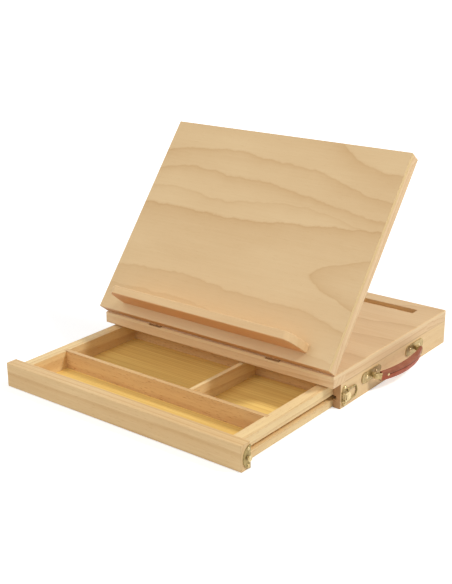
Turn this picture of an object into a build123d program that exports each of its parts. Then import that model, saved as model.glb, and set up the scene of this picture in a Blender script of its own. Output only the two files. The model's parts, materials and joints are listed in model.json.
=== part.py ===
"""Table-top pochade box: a shallow box with a drawer, a tilting easel board on its lid and a folding prop.

Millimetres, +Z up, +X to the right seen from the front, the drawer pulls out towards -Y.
The origin is the middle of the back wall's underside, on the surface that the box stands on.
The parts stand as in use: the board propped up, the drawer pulled out, the latch open.
"""
import os
from math import atan2, cos, degrees, hypot, radians, sin, sqrt

from build123d import *

# ---------------------------------------------------------------- driving sizes
# The box.
WIDTH = 340.0
DEPTH = 264.0
WALL = 9.5
WALL_HEIGHT = 30.0
DECK_SKIN = 4.0
DECK_RAIL = 10.0
FRONT_RAIL_WIDTH = 24.0
SIDE_RAIL_WIDTH = 22.0
REAR_RAIL_WIDTH = 50.0
EDGE_BEVEL = 0.7

# The long groove across the back of the deck.
GROOVE_LENGTH = 284.0
GROOVE_WIDTH = 14.0
GROOVE_DEPTH = 9.0
GROOVE_FROM_BACK = 22.0

# The drawer and its runners.
DRAWER_OUT = 166.0
DRAWER_FRONT = 14.6
DRAWER_SIDE = 14.0
DRAWER_SIDE_LENGTH = 238.0
DRAWER_SIDE_TOP = 26.8
DRAWER_INSIDE = 178.0
DRAWER_REAR = 9.0
DRAWER_BOTTOM = 3.0
BOTTOM_LIFT = 1.4
BOTTOM_HOUSING = 4.0
DIVIDER = 5.5
DIVIDER_HOUSING = 3.0
FRONT_TRAY = 57.0
CROSS_DIVIDER_X = 43.0
FLOOR_GAP = 0.4
DRAWER_TOP_GAP = 0.6
DRAWER_SIDE_GAP = 0.5
DRAWER_FRONT_GAP = 0.4
RUNNER_HEIGHT = 5.4
RUNNER_Z = 12.0
RUNNER_LET_IN = 4.0
RUNNER_REACH = 6.0
RUNNER_SETBACK = 16.0
RUNNER_GAP = 0.3

# The easel board, hinged at the deck's front edge.
BOARD_ANGLE = 52.0
BOARD_LENGTH = 265.5
BOARD_FACE = 5.0
BOARD_RAIL = 12.0
BOARD_BOTTOM_RAIL = 34.0
BOARD_TOP_RAIL = 13.0
BOARD_SIDE_RAIL = 16.0
BOARD_GAP = 0.4
BOARD_SETBACK = 2.4

# The ledge that the canvas stands on.
LEDGE_LENGTH = 272.0
LEDGE_DEPTH = 38.5
LEDGE_THICKNESS = 10.0
LEDGE_HEIGHT = 12.0
LEDGE_END_SWEEP = 12.0
LEDGE_END_DEPTH = 32.0
LEDGE_SCREW_X = 120.0

# The butt hinges of the board.
HINGE_X = 88.0
HINGE_LENGTH = 19.0
LEAF_WIDTH = 13.5
LEAF = 1.0
KNUCKLE_RADIUS = 1.7
KNUCKLES = 3
KNUCKLE_GAP = 0.3
HINGE_PIN_RADIUS = 0.8
PIN_GAP = 0.05
HINGE_NOTCH_GAP = 0.4

# The prop: a small frame that folds up into the board's hollow back.
PROP_HEIGHT = 122.0
PROP_WIDTH = 96.0
PROP_THICKNESS = 9.0
PROP_STILE = 14.0
PROP_BAR = 14.0
PROP_HEAD_BAR_AT = 20.0
PROP_DEPTH_IN_BOARD = 4.8
STEEPEST_ANGLE = 60.0
FOOT_GAP = 0.1
PROP_ROD_RADIUS = 2.5
PROP_BLOCK = 14.0
PROP_BLOCK_LENGTH = 30.0
PROP_BLOCK_HEIGHT = 11.0
PROP_SIDE_GAP = 0.5
PROP_DOWEL_RADIUS = 2.6

# The latch on the right wall.
LATCH_Z = 13.4
LATCH_PLATE = 1.0
LATCH_PLATE_FRONT = 17.0
LATCH_PLATE_LENGTH = 12.4
LATCH_PLATE_HEIGHT = 24.8
LATCH_WAIST = 13.2
LATCH_LOBE = 9.0
LATCH_SCREW_SPACING = 20.0
LATCH_SIDE_GAP = 0.3
LEVER_PIN_Y = 18.6
LEVER_PIN_OUT = 2.3
LEVER_PIN_RADIUS = 0.6
LEVER_EAR_RADIUS = 1.3
LEVER_EAR = 1.0
LEVER_LENGTH = 10.4
LEVER_WIDTH = 10.4
LEVER_SHEET = 0.8
LEVER_LIFT = 1.5
LEVER_LIP = 1.0
LEVER_WINDOW = 6.0
LEVER_WINDOW_LENGTH = 2.4
BAIL_PIVOT_Y = 27.6
BAIL_PIVOT_OUT = 2.0
BAIL_EAR_RADIUS = 1.5
BAIL_EAR = 1.2
BAIL_EAR_SPREAD = 4.6
BAIL_WIRE = 1.6
BAIL_WIDTH = 14.0
BAIL_TIP_WIDTH = 12.4
BAIL_CORNER = 5.2
BAIL_HAND = 4.2
BAIL_REST_Y = 47.8
BAIL_REST_OUT = 1.0
BAIL_HOOKED_OUT = 2.4

# The strike on the drawer front's right end.
STRIKE_DEPTH = 12.0
STRIKE_HEIGHT = 26.0
STRIKE_SCREW_SPACING = 19.0
STRIKE_SCREW_FROM_BACK = 3.8
HOOK_SHEET = 1.2
HOOK_WIDTH = 5.0
HOOK_REACH = 2.8
HOOK_GAP = 0.3

# The carrying handle on the right wall.
HANDLE_FRONT_Y = 80.5
HANDLE_REAR_Y = 182.5
HANDLE_Z = 20.0
HANDLE_PLATE_LENGTH = 42.0
HANDLE_PLATE_HEIGHT = 13.0
HANDLE_PLATE = 1.2
HANDLE_SCREW_SPACING = 21.0
HANDLE_LUG = 3.0
HANDLE_LUG_RADIUS = 2.3
HANDLE_AXIS_OUT = 3.8
HANDLE_PIN_RADIUS = 0.9
HANDLE_TILT = 4.0
CLIP_SHEET = 1.0
CLIP_HEIGHT = 8.4
CLIP_SIDE_GAP = 0.3
CLIP_LAP = 15.0
CLIP_BEND = 1.6
STRAP_END_INSET = 4.0
STRAP_END_OUT = 10.5
STRAP_BOW = 8.0
STRAP_HEIGHT = 11.6
STRAP_END_THICKNESS = 3.2
STRAP_MID_THICKNESS = 8.0
STRAP_BEVEL = 1.2
RIVET_RADIUS = 1.0
RIVET_HEAD_RADIUS = 1.9
RIVET_HEAD = 0.8
RIVET_FROM_END = 10.0

# Screws.
SMALL_SIDES = 12
WIRE_SIDES = 8
BEND_STEPS = 4
SMALL_SCREW_RADIUS = 1.0
SMALL_SCREW_HEAD = 2.1
SMALL_SCREW_LENGTH = 8.0
DOME_SCREW_HEAD = 2.0
DOME_HEIGHT = 1.0
LEDGE_SCREW_RADIUS = 1.6
LEDGE_SCREW_HEAD = 3.4
LEDGE_SCREW_LENGTH = 32.0

# ---------------------------------------------------------------- places worked out from them
HALF = WIDTH / 2
BACK_Y = WALL / 2
FRONT_Y = BACK_Y - DEPTH
INNER_BACK_Y = -WALL / 2
DECK_UNDER = WALL_HEIGHT
SKIN_UNDER = DECK_UNDER + DECK_RAIL
DECK_TOP = SKIN_UNDER + DECK_SKIN
WALL_FRONT_Y = FRONT_Y + DRAWER_FRONT + DRAWER_FRONT_GAP

DRAWER_Y = FRONT_Y - DRAWER_OUT
DRAWER_BACK_OF_FRONT = DRAWER_Y + DRAWER_FRONT
DRAWER_OUTER_X = HALF - WALL - DRAWER_SIDE_GAP
DRAWER_INNER_X = DRAWER_OUTER_X - DRAWER_SIDE
FLOOR_TOP = FLOOR_GAP + BOTTOM_LIFT + DRAWER_BOTTOM
REAR_WALL_Y = DRAWER_BACK_OF_FRONT + DRAWER_INSIDE
LONG_DIVIDER_Y = DRAWER_BACK_OF_FRONT + FRONT_TRAY

PIVOT_Y = FRONT_Y + BOARD_SETBACK
PIVOT_Z = DECK_TOP + BOARD_GAP
BOARD_THICKNESS = BOARD_FACE + BOARD_RAIL
BOARD_PLACE = Pos(0, PIVOT_Y, PIVOT_Z) * Rot(BOARD_ANGLE, 0, 0)
# The foot keeps nearly level while the prop turns back twice as far as the board tips up.
PROP_LENGTH = PROP_HEIGHT - (
    FOOT_GAP + PROP_THICKNESS / 2 - BOARD_GAP - PROP_DEPTH_IN_BOARD * cos(radians(STEEPEST_ANGLE))
) / sin(radians(STEEPEST_ANGLE))
PROP_PLACE = BOARD_PLACE * Pos(0, PROP_HEIGHT, PROP_DEPTH_IN_BOARD) * Rot(-2 * BOARD_ANGLE, 0, 0)

LEVER_AXIS = Pos(HALF + LEVER_PIN_OUT, FRONT_Y + LEVER_PIN_Y, LATCH_Z)
BAIL_AXIS = Pos(HALF + BAIL_PIVOT_OUT, FRONT_Y + BAIL_PIVOT_Y, LATCH_Z)
BAIL_LENGTH = hypot(BAIL_REST_Y - BAIL_PIVOT_Y, BAIL_PIVOT_OUT - BAIL_REST_OUT)
BAIL_HOOKED_Y = BAIL_PIVOT_Y - sqrt(BAIL_LENGTH**2 - (BAIL_HOOKED_OUT - BAIL_PIVOT_OUT) ** 2)
BAIL_REST_ANGLE = degrees(atan2(BAIL_REST_OUT - BAIL_PIVOT_OUT, BAIL_REST_Y - BAIL_PIVOT_Y))

HANDLE_AXIS_X = HALF + HANDLE_AXIS_OUT
HANDLE_MID_Y = FRONT_Y + (HANDLE_FRONT_Y + HANDLE_REAR_Y) / 2
HANDLE_SPAN = HANDLE_REAR_Y - HANDLE_FRONT_Y
HANDLE_PLACE = Pos(HANDLE_AXIS_X, HANDLE_MID_Y, HANDLE_Z) * Rot(0, HANDLE_TILT, 0)


# ---------------------------------------------------------------- shared shapes
def block(x0, x1, y0, y1, z0, z1):
    """A square-edged piece of stock between two corners."""
    return Pos((x0 + x1) / 2, (y0 + y1) / 2, (z0 + z1) / 2) * Box(x1 - x0, y1 - y0, z1 - z0)


def bar(radius, start, end):
    """A round bar from one point to another."""
    run = Vector(*end) - Vector(*start)
    return Plane(origin=start, z_dir=run) * extrude(Circle(radius), run.length)


def outward(side):
    """A frame on the outside of the left (-1) or right (+1) wall, its z pointing away from the box."""
    return Plane(origin=(side * HALF, 0, 0), x_dir=(0, side, 0), z_dir=(side, 0, 0))


def disc(radius):
    """A small round outline with few sides: it keeps screws and rivets light, and is too small to see."""
    return RegularPolygon(radius, SMALL_SIDES)


def taper(low_radius, high_radius, z0, z1):
    """A small cone between two heights."""
    return loft([Pos(0, 0, z0) * disc(low_radius), Pos(0, 0, z1) * disc(high_radius)])


def flat_screw(radius, head, length):
    """A countersunk wood screw driven down -Z, its flat head flush with z = 0."""
    return Pos(0, 0, -length) * extrude(disc(radius), length) + taper(radius, head, radius - head, 0)


def raised_head(radius, height):
    """A low raised head standing on z = 0, its rim bevelled."""
    shoulder = height * 0.4
    return extrude(disc(radius), shoulder) + taper(radius, radius - height, shoulder, height)


def dome_screw():
    """A round-headed screw driven down -Z, its head standing on z = 0."""
    return dome_screw_hole() + raised_head(DOME_SCREW_HEAD, DOME_HEIGHT)


def dome_screw_hole():
    """The hole that a round-headed screw's shank fills."""
    return Pos(0, 0, -SMALL_SCREW_LENGTH) * extrude(disc(SMALL_SCREW_RADIUS), SMALL_SCREW_LENGTH)


# ---------------------------------------------------------------- the box
def side_wall(side):
    """A side wall with the housing for its runner, and pilot holes on the side that carries fittings."""
    x_out, x_in = side * HALF, side * (HALF - WALL)
    wall = block(min(x_out, x_in), max(x_out, x_in), WALL_FRONT_Y, BACK_Y, 0, WALL_HEIGHT)
    housing = block(
        min(x_in, x_in + side * RUNNER_LET_IN), max(x_in, x_in + side * RUNNER_LET_IN),
        WALL_FRONT_Y, INNER_BACK_Y, RUNNER_Z - RUNNER_HEIGHT / 2, RUNNER_Z + RUNNER_HEIGHT / 2)
    wall -= housing
    if side > 0:
        for place in latch_screw_places() + handle_screw_places():
            wall -= place * dome_screw_hole()
    return wall


def back_wall():
    """The back wall, between the side walls."""
    return block(-HALF + WALL, HALF - WALL, INNER_BACK_Y, BACK_Y, 0, WALL_HEIGHT)


def runner(side):
    """The strip that the drawer slides on, glued into the wall's housing and stopping short of its front."""
    x_in = side * (HALF - WALL)
    ends = (x_in + side * RUNNER_LET_IN, x_in - side * (DRAWER_SIDE_GAP + RUNNER_REACH))
    return block(
        min(ends), max(ends), WALL_FRONT_Y + RUNNER_SETBACK, INNER_BACK_Y,
        RUNNER_Z - RUNNER_HEIGHT / 2, RUNNER_Z + RUNNER_HEIGHT / 2)


def rear_groove(z0, z1):
    """The room that the long groove takes between two heights."""
    middle_y = BACK_Y - GROOVE_FROM_BACK - GROOVE_WIDTH / 2
    return block(
        -GROOVE_LENGTH / 2, GROOVE_LENGTH / 2, middle_y - GROOVE_WIDTH / 2, middle_y + GROOVE_WIDTH / 2,
        z0, z1)


def hinge_notch():
    """The room that one hinge's knuckles take in the deck, and its let-in leaf."""
    reach = KNUCKLE_RADIUS + HINGE_NOTCH_GAP
    half = HINGE_LENGTH / 2 + HINGE_NOTCH_GAP
    knuckles = block(-half, half, FRONT_Y, PIVOT_Y + reach, PIVOT_Z - reach, DECK_TOP)
    leaf = block(
        -HINGE_LENGTH / 2, HINGE_LENGTH / 2, PIVOT_Y, PIVOT_Y + LEAF_WIDTH, DECK_TOP - LEAF, DECK_TOP)
    return knuckles + leaf


def deck_panel():
    """The plywood lid of the box, with the long groove and the hinge seats."""
    panel = block(-HALF, HALF, FRONT_Y, BACK_Y, SKIN_UNDER, DECK_TOP)
    panel = chamfer(panel.edges().group_by(Axis.Z)[-1], EDGE_BEVEL)
    panel -= rear_groove(SKIN_UNDER, DECK_TOP)
    for side in (-1, 1):
        panel -= Pos(side * HINGE_X, 0, 0) * hinge_notch()
    return panel - deck_screw_holes()


def deck_front_rail():
    """The rail under the deck's front edge, that the hinge screws bite into."""
    rail = block(-HALF, HALF, FRONT_Y, FRONT_Y + FRONT_RAIL_WIDTH, DECK_UNDER, SKIN_UNDER)
    return rail - deck_screw_holes()


def deck_side_rail(side):
    """The rail along a side of the deck, on the side wall."""
    x_out, x_in = side * HALF, side * (HALF - SIDE_RAIL_WIDTH)
    return block(
        min(x_out, x_in), max(x_out, x_in), FRONT_Y + FRONT_RAIL_WIDTH, BACK_Y - REAR_RAIL_WIDTH,
        DECK_UNDER, SKIN_UNDER)


def deck_rear_rail():
    """The wide rail along the back of the deck, with the bottom of the long groove."""
    rail = block(-HALF, HALF, BACK_Y - REAR_RAIL_WIDTH, BACK_Y, DECK_UNDER, SKIN_UNDER)
    return rail - rear_groove(DECK_TOP - GROOVE_DEPTH, SKIN_UNDER)


# ---------------------------------------------------------------- the hinges
def knuckle_spans(which):
    """The stretches of a hinge's knuckles along X: every other one, from the first (0) or the second (1)."""
    pitch = HINGE_LENGTH / KNUCKLES
    starts = [-HINGE_LENGTH / 2 + pitch * i for i in range(which, KNUCKLES, 2)]
    return [(start + KNUCKLE_GAP / 2, start + pitch - KNUCKLE_GAP / 2) for start in starts]


def leaf_screw_places():
    """The two screws of a leaf, in the leaf's own frame: its face up at z = 0, its pin along X at y = 0."""
    return [Pos(side * HINGE_LENGTH / 4, LEAF_WIDTH * 0.62, 0) for side in (-1, 1)]


def hinge_leaf(which, drop):
    """A leaf with its knuckles about the X axis, its face up and lying `drop` under the pin."""
    leaf = block(
        -HINGE_LENGTH / 2, HINGE_LENGTH / 2, KNUCKLE_RADIUS + HINGE_NOTCH_GAP, LEAF_WIDTH,
        -drop - LEAF, -drop)
    for x0, x1 in knuckle_spans(which):
        neck = block(x0, x1, 0, KNUCKLE_RADIUS + HINGE_NOTCH_GAP, -drop - LEAF, -drop)
        leaf += bar(KNUCKLE_RADIUS, (x0, 0, 0), (x1, 0, 0)) + neck
    leaf -= bar(HINGE_PIN_RADIUS + PIN_GAP, (-HINGE_LENGTH, 0, 0), (HINGE_LENGTH, 0, 0))
    for place in leaf_screw_places():
        leaf -= Pos(0, 0, -drop) * place * small_screw()
    return leaf


def hinge_pin():
    """The pin through a hinge's knuckles."""
    return bar(HINGE_PIN_RADIUS, (-HINGE_LENGTH / 2, 0, 0), (HINGE_LENGTH / 2, 0, 0))


def small_screw():
    """A countersunk screw of a hinge leaf."""
    return flat_screw(SMALL_SCREW_RADIUS, SMALL_SCREW_HEAD, SMALL_SCREW_LENGTH)


def base_leaf_place(side):
    """Where a hinge's pin lies on the deck."""
    return Pos(side * HINGE_X, PIVOT_Y, PIVOT_Z)


def deck_screw_places():
    """The hinge screws in the deck."""
    return [
        base_leaf_place(side) * Pos(0, 0, -BOARD_GAP) * place
        for side in (-1, 1) for place in leaf_screw_places()]


def deck_screw_holes():
    """The holes that the hinge screws fill in the deck."""
    return Compound(children=[place * small_screw() for place in deck_screw_places()])


# ---------------------------------------------------------------- the board
def board_frame_piece(x0, x1, y0, y1):
    """A rail of the board's frame, in the board's own frame: hinge line along X at the origin, face up."""
    return block(x0, x1, y0, y1, 0, BOARD_RAIL)


def board_panel():
    """The plywood face of the board, with the ledge's screw holes."""
    panel = block(-HALF, HALF, 0, BOARD_LENGTH, BOARD_RAIL, BOARD_THICKNESS)
    return panel - ledge_screw_holes()


def board_bottom_rail():
    """The wide rail at the board's foot, cut for the hinges and bored for the ledge's screws."""
    rail = board_frame_piece(-HALF, HALF, 0, BOARD_BOTTOM_RAIL)
    reach = KNUCKLE_RADIUS + HINGE_NOTCH_GAP
    half = HINGE_LENGTH / 2 + HINGE_NOTCH_GAP
    for side in (-1, 1):
        rail -= Pos(side * HINGE_X, 0, 0) * block(-half, half, 0, reach, 0, reach)
        rail -= Pos(side * HINGE_X, 0, 0) * block(-HINGE_LENGTH / 2, HINGE_LENGTH / 2, 0, LEAF_WIDTH, 0, LEAF)
        for place in leaf_screw_places():
            rail -= Pos(side * HINGE_X, 0, 0) * Rot(180, 0, 0) * Rot(0, 0, 180) * place * small_screw()
    return rail - ledge_screw_holes()


def board_top_rail():
    """The rail along the board's top edge."""
    return board_frame_piece(-HALF, HALF, BOARD_LENGTH - BOARD_TOP_RAIL, BOARD_LENGTH)


def board_side_rail(side):
    """A side rail of the board, between the bottom and top rails."""
    x_out, x_in = side * HALF, side * (HALF - BOARD_SIDE_RAIL)
    return board_frame_piece(
        min(x_out, x_in), max(x_out, x_in), BOARD_BOTTOM_RAIL, BOARD_LENGTH - BOARD_TOP_RAIL)


def canvas_ledge():
    """The shelf across the board's face, its ends swept back to the board in a quarter of an ellipse."""
    straight = LEDGE_LENGTH / 2 - LEDGE_END_SWEEP
    shoulder = LEDGE_DEPTH - LEDGE_END_DEPTH
    with BuildLine() as rim:
        Line((straight, LEDGE_DEPTH), (-straight, LEDGE_DEPTH))
        EllipticalCenterArc((-straight, shoulder), LEDGE_END_SWEEP, LEDGE_END_DEPTH, 90, arc_size=90)
        Polyline(
            (-LEDGE_LENGTH / 2, shoulder), (-LEDGE_LENGTH / 2, 0), (LEDGE_LENGTH / 2, 0),
            (LEDGE_LENGTH / 2, shoulder))
        EllipticalCenterArc((straight, shoulder), LEDGE_END_SWEEP, LEDGE_END_DEPTH, 0, arc_size=90)
    shelf = extrude(make_face(rim.line), LEDGE_THICKNESS)
    rims = shelf.faces().filter_by(Axis.Z).edges()
    shelf = chamfer(rims.filter_by(lambda e: e.center().Y > EDGE_BEVEL), EDGE_BEVEL)
    foot = (0, LEDGE_HEIGHT + LEDGE_THICKNESS, BOARD_THICKNESS)
    shelf = Plane(origin=foot, x_dir=(1, 0, 0), z_dir=(0, -1, 0)) * shelf
    return shelf - ledge_screw_holes()


def ledge_screw_places():
    """The screws from the board's back into the ledge, heads in the back of the bottom rail."""
    y = LEDGE_HEIGHT + LEDGE_THICKNESS / 2
    return [Pos(x, y, 0) * Rot(180, 0, 0) for x in (-LEDGE_SCREW_X, 0, LEDGE_SCREW_X)]


def ledge_screw_holes():
    """The holes that the ledge's screws fill."""
    hole = flat_screw(LEDGE_SCREW_RADIUS, LEDGE_SCREW_HEAD, LEDGE_SCREW_LENGTH)
    return Compound(children=[place * hole for place in ledge_screw_places()])


def board_leaf():
    """The board's leaf of a hinge, let into the back of the bottom rail."""
    return Rot(180, 0, 0) * Rot(0, 0, 180) * hinge_leaf(1, 0)


def board_screws():
    """The hinge screws in the board."""
    return [
        Pos(side * HINGE_X, 0, 0) * Rot(180, 0, 0) * Rot(0, 0, 180) * place * small_screw()
        for side in (-1, 1) for place in leaf_screw_places()]


# ---------------------------------------------------------------- the prop
def prop_block(side):
    """A block on the board's back that holds an end of the prop's rod."""
    inner = PROP_WIDTH / 2 + PROP_SIDE_GAP
    x0, x1 = sorted((side * inner, side * (inner + PROP_BLOCK)))
    piece = block(
        x0, x1, PROP_HEIGHT - PROP_BLOCK_LENGTH / 2, PROP_HEIGHT + PROP_BLOCK_LENGTH / 2,
        BOARD_RAIL - PROP_BLOCK_HEIGHT, BOARD_RAIL)
    return piece - prop_rod()


def prop_rod():
    """The steel rod that the prop turns on."""
    reach = PROP_WIDTH / 2 + PROP_SIDE_GAP + PROP_BLOCK
    centre = (PROP_HEIGHT, PROP_DEPTH_IN_BOARD)
    return bar(PROP_ROD_RADIUS, (-reach, *centre), (reach, *centre))


def prop_stile(side):
    """A side of the prop, round at both ends, turning on the rod at the origin and running along +Y."""
    outline = Plane.YZ * Pos(PROP_LENGTH / 2, 0) * SlotCenterToCenter(PROP_LENGTH, PROP_THICKNESS)
    x0 = side * PROP_WIDTH / 2 - (PROP_STILE if side > 0 else 0)
    stile = Pos(x0, 0, 0) * extrude(outline, PROP_STILE)
    return stile - bar(PROP_ROD_RADIUS + PIN_GAP, (-PROP_WIDTH, 0, 0), (PROP_WIDTH, 0, 0)) - prop_foot_dowel()


def prop_head_bar():
    """The bar between the prop's sides near its rod."""
    reach = PROP_WIDTH / 2 - PROP_STILE
    return block(
        -reach, reach, PROP_HEAD_BAR_AT - PROP_BAR / 2, PROP_HEAD_BAR_AT + PROP_BAR / 2,
        -PROP_THICKNESS / 2, PROP_THICKNESS / 2)


def prop_foot_dowel():
    """The dowel across the prop's foot, glued into both sides."""
    reach = PROP_WIDTH / 2
    return bar(PROP_DOWEL_RADIUS, (-reach, PROP_LENGTH, 0), (reach, PROP_LENGTH, 0))


def prop_foot_grip():
    """The rubber sleeve on the foot's dowel, between the prop's sides."""
    reach = PROP_WIDTH / 2 - PROP_STILE
    return bar(PROP_THICKNESS / 2, (-reach, PROP_LENGTH, 0), (reach, PROP_LENGTH, 0)) - prop_foot_dowel()


# ---------------------------------------------------------------- the drawer
def drawer_front():
    """The drawer front, as wide as the box, with the housing for the drawer's bottom."""
    front = block(
        -HALF, HALF, DRAWER_Y, DRAWER_BACK_OF_FRONT, FLOOR_GAP, WALL_HEIGHT - DRAWER_TOP_GAP)
    front = chamfer(front.edges().group_by(Axis.Y)[0], EDGE_BEVEL)
    front -= drawer_bottom()
    for place in strike_screw_places():
        front -= place * dome_screw_hole()
    return front


def drawer_side(side):
    """A drawer side: the runner's groove outside, housings for the bottom and the long divider inside."""
    x_out, x_in = side * DRAWER_OUTER_X, side * DRAWER_INNER_X
    piece = block(
        min(x_out, x_in), max(x_out, x_in), DRAWER_BACK_OF_FRONT, DRAWER_BACK_OF_FRONT + DRAWER_SIDE_LENGTH,
        FLOOR_GAP, DRAWER_SIDE_TOP)
    depth = side * (RUNNER_REACH + 2 * RUNNER_GAP)
    ends = sorted((x_out, x_out - depth))
    piece -= block(
        *ends, DRAWER_BACK_OF_FRONT, DRAWER_BACK_OF_FRONT + DRAWER_SIDE_LENGTH,
        RUNNER_Z - RUNNER_HEIGHT / 2 - RUNNER_GAP, RUNNER_Z + RUNNER_HEIGHT / 2 + RUNNER_GAP)
    return piece - drawer_bottom() - drawer_long_divider()


def drawer_rear_wall():
    """The wall that closes the drawer's trays at the back, with the housing for the bottom."""
    wall = block(
        -DRAWER_INNER_X, DRAWER_INNER_X, REAR_WALL_Y, REAR_WALL_Y + DRAWER_REAR, FLOOR_GAP, DRAWER_SIDE_TOP)
    return wall - drawer_bottom()


def drawer_bottom():
    """The drawer's plywood bottom, let into the front, the sides and the rear wall."""
    return block(
        -DRAWER_INNER_X - BOTTOM_HOUSING, DRAWER_INNER_X + BOTTOM_HOUSING,
        DRAWER_BACK_OF_FRONT - BOTTOM_HOUSING, REAR_WALL_Y + BOTTOM_HOUSING,
        FLOOR_TOP - DRAWER_BOTTOM, FLOOR_TOP)


def drawer_long_divider():
    """The divider behind the front tray, housed in both sides."""
    return block(
        -DRAWER_INNER_X - DIVIDER_HOUSING, DRAWER_INNER_X + DIVIDER_HOUSING,
        LONG_DIVIDER_Y, LONG_DIVIDER_Y + DIVIDER, FLOOR_TOP, DRAWER_SIDE_TOP)


def drawer_cross_divider():
    """The divider between the two rear trays."""
    return block(
        CROSS_DIVIDER_X - DIVIDER / 2, CROSS_DIVIDER_X + DIVIDER / 2,
        LONG_DIVIDER_Y + DIVIDER, REAR_WALL_Y, FLOOR_TOP, DRAWER_SIDE_TOP)


# ---------------------------------------------------------------- the latch and its strike
def latch_screw_places():
    """The latch's screws, driven into the right wall through the plate's lobes."""
    y = FRONT_Y + LATCH_PLATE_FRONT + LATCH_PLATE_LENGTH / 2
    return [outward(1) * Pos(y, LATCH_Z + side * LATCH_SCREW_SPACING / 2, LATCH_PLATE) for side in (-1, 1)]


def latch_ear(place, radius, height, z0, thickness):
    """An ear that stands on the latch's plate, round about a pin's axis."""
    foot = Rectangle(height - LATCH_PLATE / 2, 2 * radius)
    outline = Circle(radius) + Pos((LATCH_PLATE / 2 - height) / 2, 0) * foot
    return place * Pos(0, 0, z0) * extrude(outline, thickness)


def latch_base_plate():
    """The latch's plate: two screw lobes, two ears for the lever's pin and two for the bail's ends."""
    middle = Pos(FRONT_Y + LATCH_PLATE_FRONT + LATCH_PLATE_LENGTH / 2, LATCH_Z)
    outline = fillet(Rectangle(LATCH_PLATE_LENGTH, LATCH_WAIST).vertices(), LATCH_PLATE)
    outline += SlotOverall(LATCH_PLATE_HEIGHT, LATCH_LOBE, rotation=90)
    plate = outward(1) * extrude(middle * outline, LATCH_PLATE)
    lever_ear_face = LEVER_WIDTH / 2 - LEVER_SHEET - LATCH_SIDE_GAP
    for z0 in (-lever_ear_face, lever_ear_face - LEVER_EAR):
        plate += latch_ear(LEVER_AXIS, LEVER_EAR_RADIUS, LEVER_PIN_OUT, z0, LEVER_EAR)
    for z0 in (-BAIL_EAR_SPREAD - BAIL_EAR, BAIL_EAR_SPREAD):
        plate += latch_ear(BAIL_AXIS, BAIL_EAR_RADIUS, BAIL_PIVOT_OUT, z0, BAIL_EAR)
    plate -= latch_pin()
    plate -= BAIL_AXIS * bar(BAIL_WIRE / 2 + PIN_GAP, (0, 0, -BAIL_WIDTH), (0, 0, BAIL_WIDTH))
    for place in latch_screw_places():
        plate -= place * dome_screw_hole()
    return plate


def latch_pin():
    """The pin that the lever turns on, fixed in the plate's ears."""
    return LEVER_AXIS * bar(LEVER_PIN_RADIUS, (0, 0, -LEVER_WIDTH / 2), (0, 0, LEVER_WIDTH / 2))


def latch_lever():
    """The lever: a sheet over the bail's ears, two cheeks on the pin and a lifted lip to open it by."""
    outer = LEVER_LIFT + LEVER_SHEET
    half = LEVER_WIDTH / 2
    profile = make_face([
        Line((LEVER_LIFT, 0), (outer, 0)),
        Line((outer, 0), (outer, LEVER_LENGTH * 0.6)),
        ThreePointArc(
            (outer, LEVER_LENGTH * 0.6), (outer + LEVER_LIP * 0.3, LEVER_LENGTH * 0.82),
            (outer + LEVER_LIP, LEVER_LENGTH)),
        Line((outer + LEVER_LIP, LEVER_LENGTH), (LEVER_LIFT + LEVER_LIP, LEVER_LENGTH)),
        ThreePointArc(
            (LEVER_LIFT + LEVER_LIP, LEVER_LENGTH), (LEVER_LIFT + LEVER_LIP * 0.3, LEVER_LENGTH * 0.82),
            (LEVER_LIFT, LEVER_LENGTH * 0.6)),
        Line((LEVER_LIFT, LEVER_LENGTH * 0.6), (LEVER_LIFT, 0))])
    lever = Pos(0, 0, -half) * extrude(profile, LEVER_WIDTH)
    shape = Pos(0, LEVER_LENGTH / 2) * Rectangle(LEVER_WIDTH, LEVER_LENGTH)
    shape = fillet(shape.vertices().group_by(Axis.Y)[-1], LEVER_WIDTH * 0.42)
    lever &= Plane.YZ * Rot(0, 0, -90) * extrude(shape, LEVER_LENGTH, both=True)
    cheek = Circle(LEVER_EAR_RADIUS - 2 * PIN_GAP) + Pos(outer / 2, LEVER_EAR_RADIUS) * Rectangle(
        outer, 2 * LEVER_EAR_RADIUS)
    cheek -= Pos(0, 2 * LEVER_EAR_RADIUS) * Circle(LEVER_LIFT)
    for z in (-half, half - LEVER_SHEET):
        lever += Pos(0, 0, z) * extrude(cheek, LEVER_SHEET)
    lever -= block(
        LEVER_LIFT, outer, LEVER_SHEET, LEVER_SHEET + LEVER_WINDOW_LENGTH,
        -LEVER_WINDOW / 2, LEVER_WINDOW / 2)
    lever -= bar(LEVER_PIN_RADIUS + PIN_GAP, (0, 0, -LEVER_WIDTH), (0, 0, LEVER_WIDTH))
    return LEVER_AXIS * lever


def latch_bail():
    """The wire bail, sprung into the plate's ears and thrown back along the wall."""
    arm, tip = BAIL_WIDTH / 2, BAIL_TIP_WIDTH / 2
    path = FilletPolyline(
        (0, 0, BAIL_HAND), (0, 0, arm), (0, BAIL_LENGTH, tip),
        (0, BAIL_LENGTH, -tip), (0, 0, -arm), (0, 0, -BAIL_HAND),
        radius=[BAIL_WIRE / 2 + PIN_GAP, BAIL_CORNER, BAIL_CORNER, BAIL_WIRE / 2 + PIN_GAP])
    corners = []
    for run in path.edges():
        steps = 1 if run.geom_type == GeomType.LINE else BEND_STEPS
        corners += [run @ (i / steps) for i in range(steps)]
    section = Plane(origin=(0, 0, BAIL_HAND), z_dir=(0, 0, 1)) * RegularPolygon(BAIL_WIRE / 2, WIRE_SIDES)
    wire = sweep(section, Polyline(*corners, path @ 1), transition=Transition.RIGHT)
    return BAIL_AXIS * Rot(0, 0, -BAIL_REST_ANGLE) * wire


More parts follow.
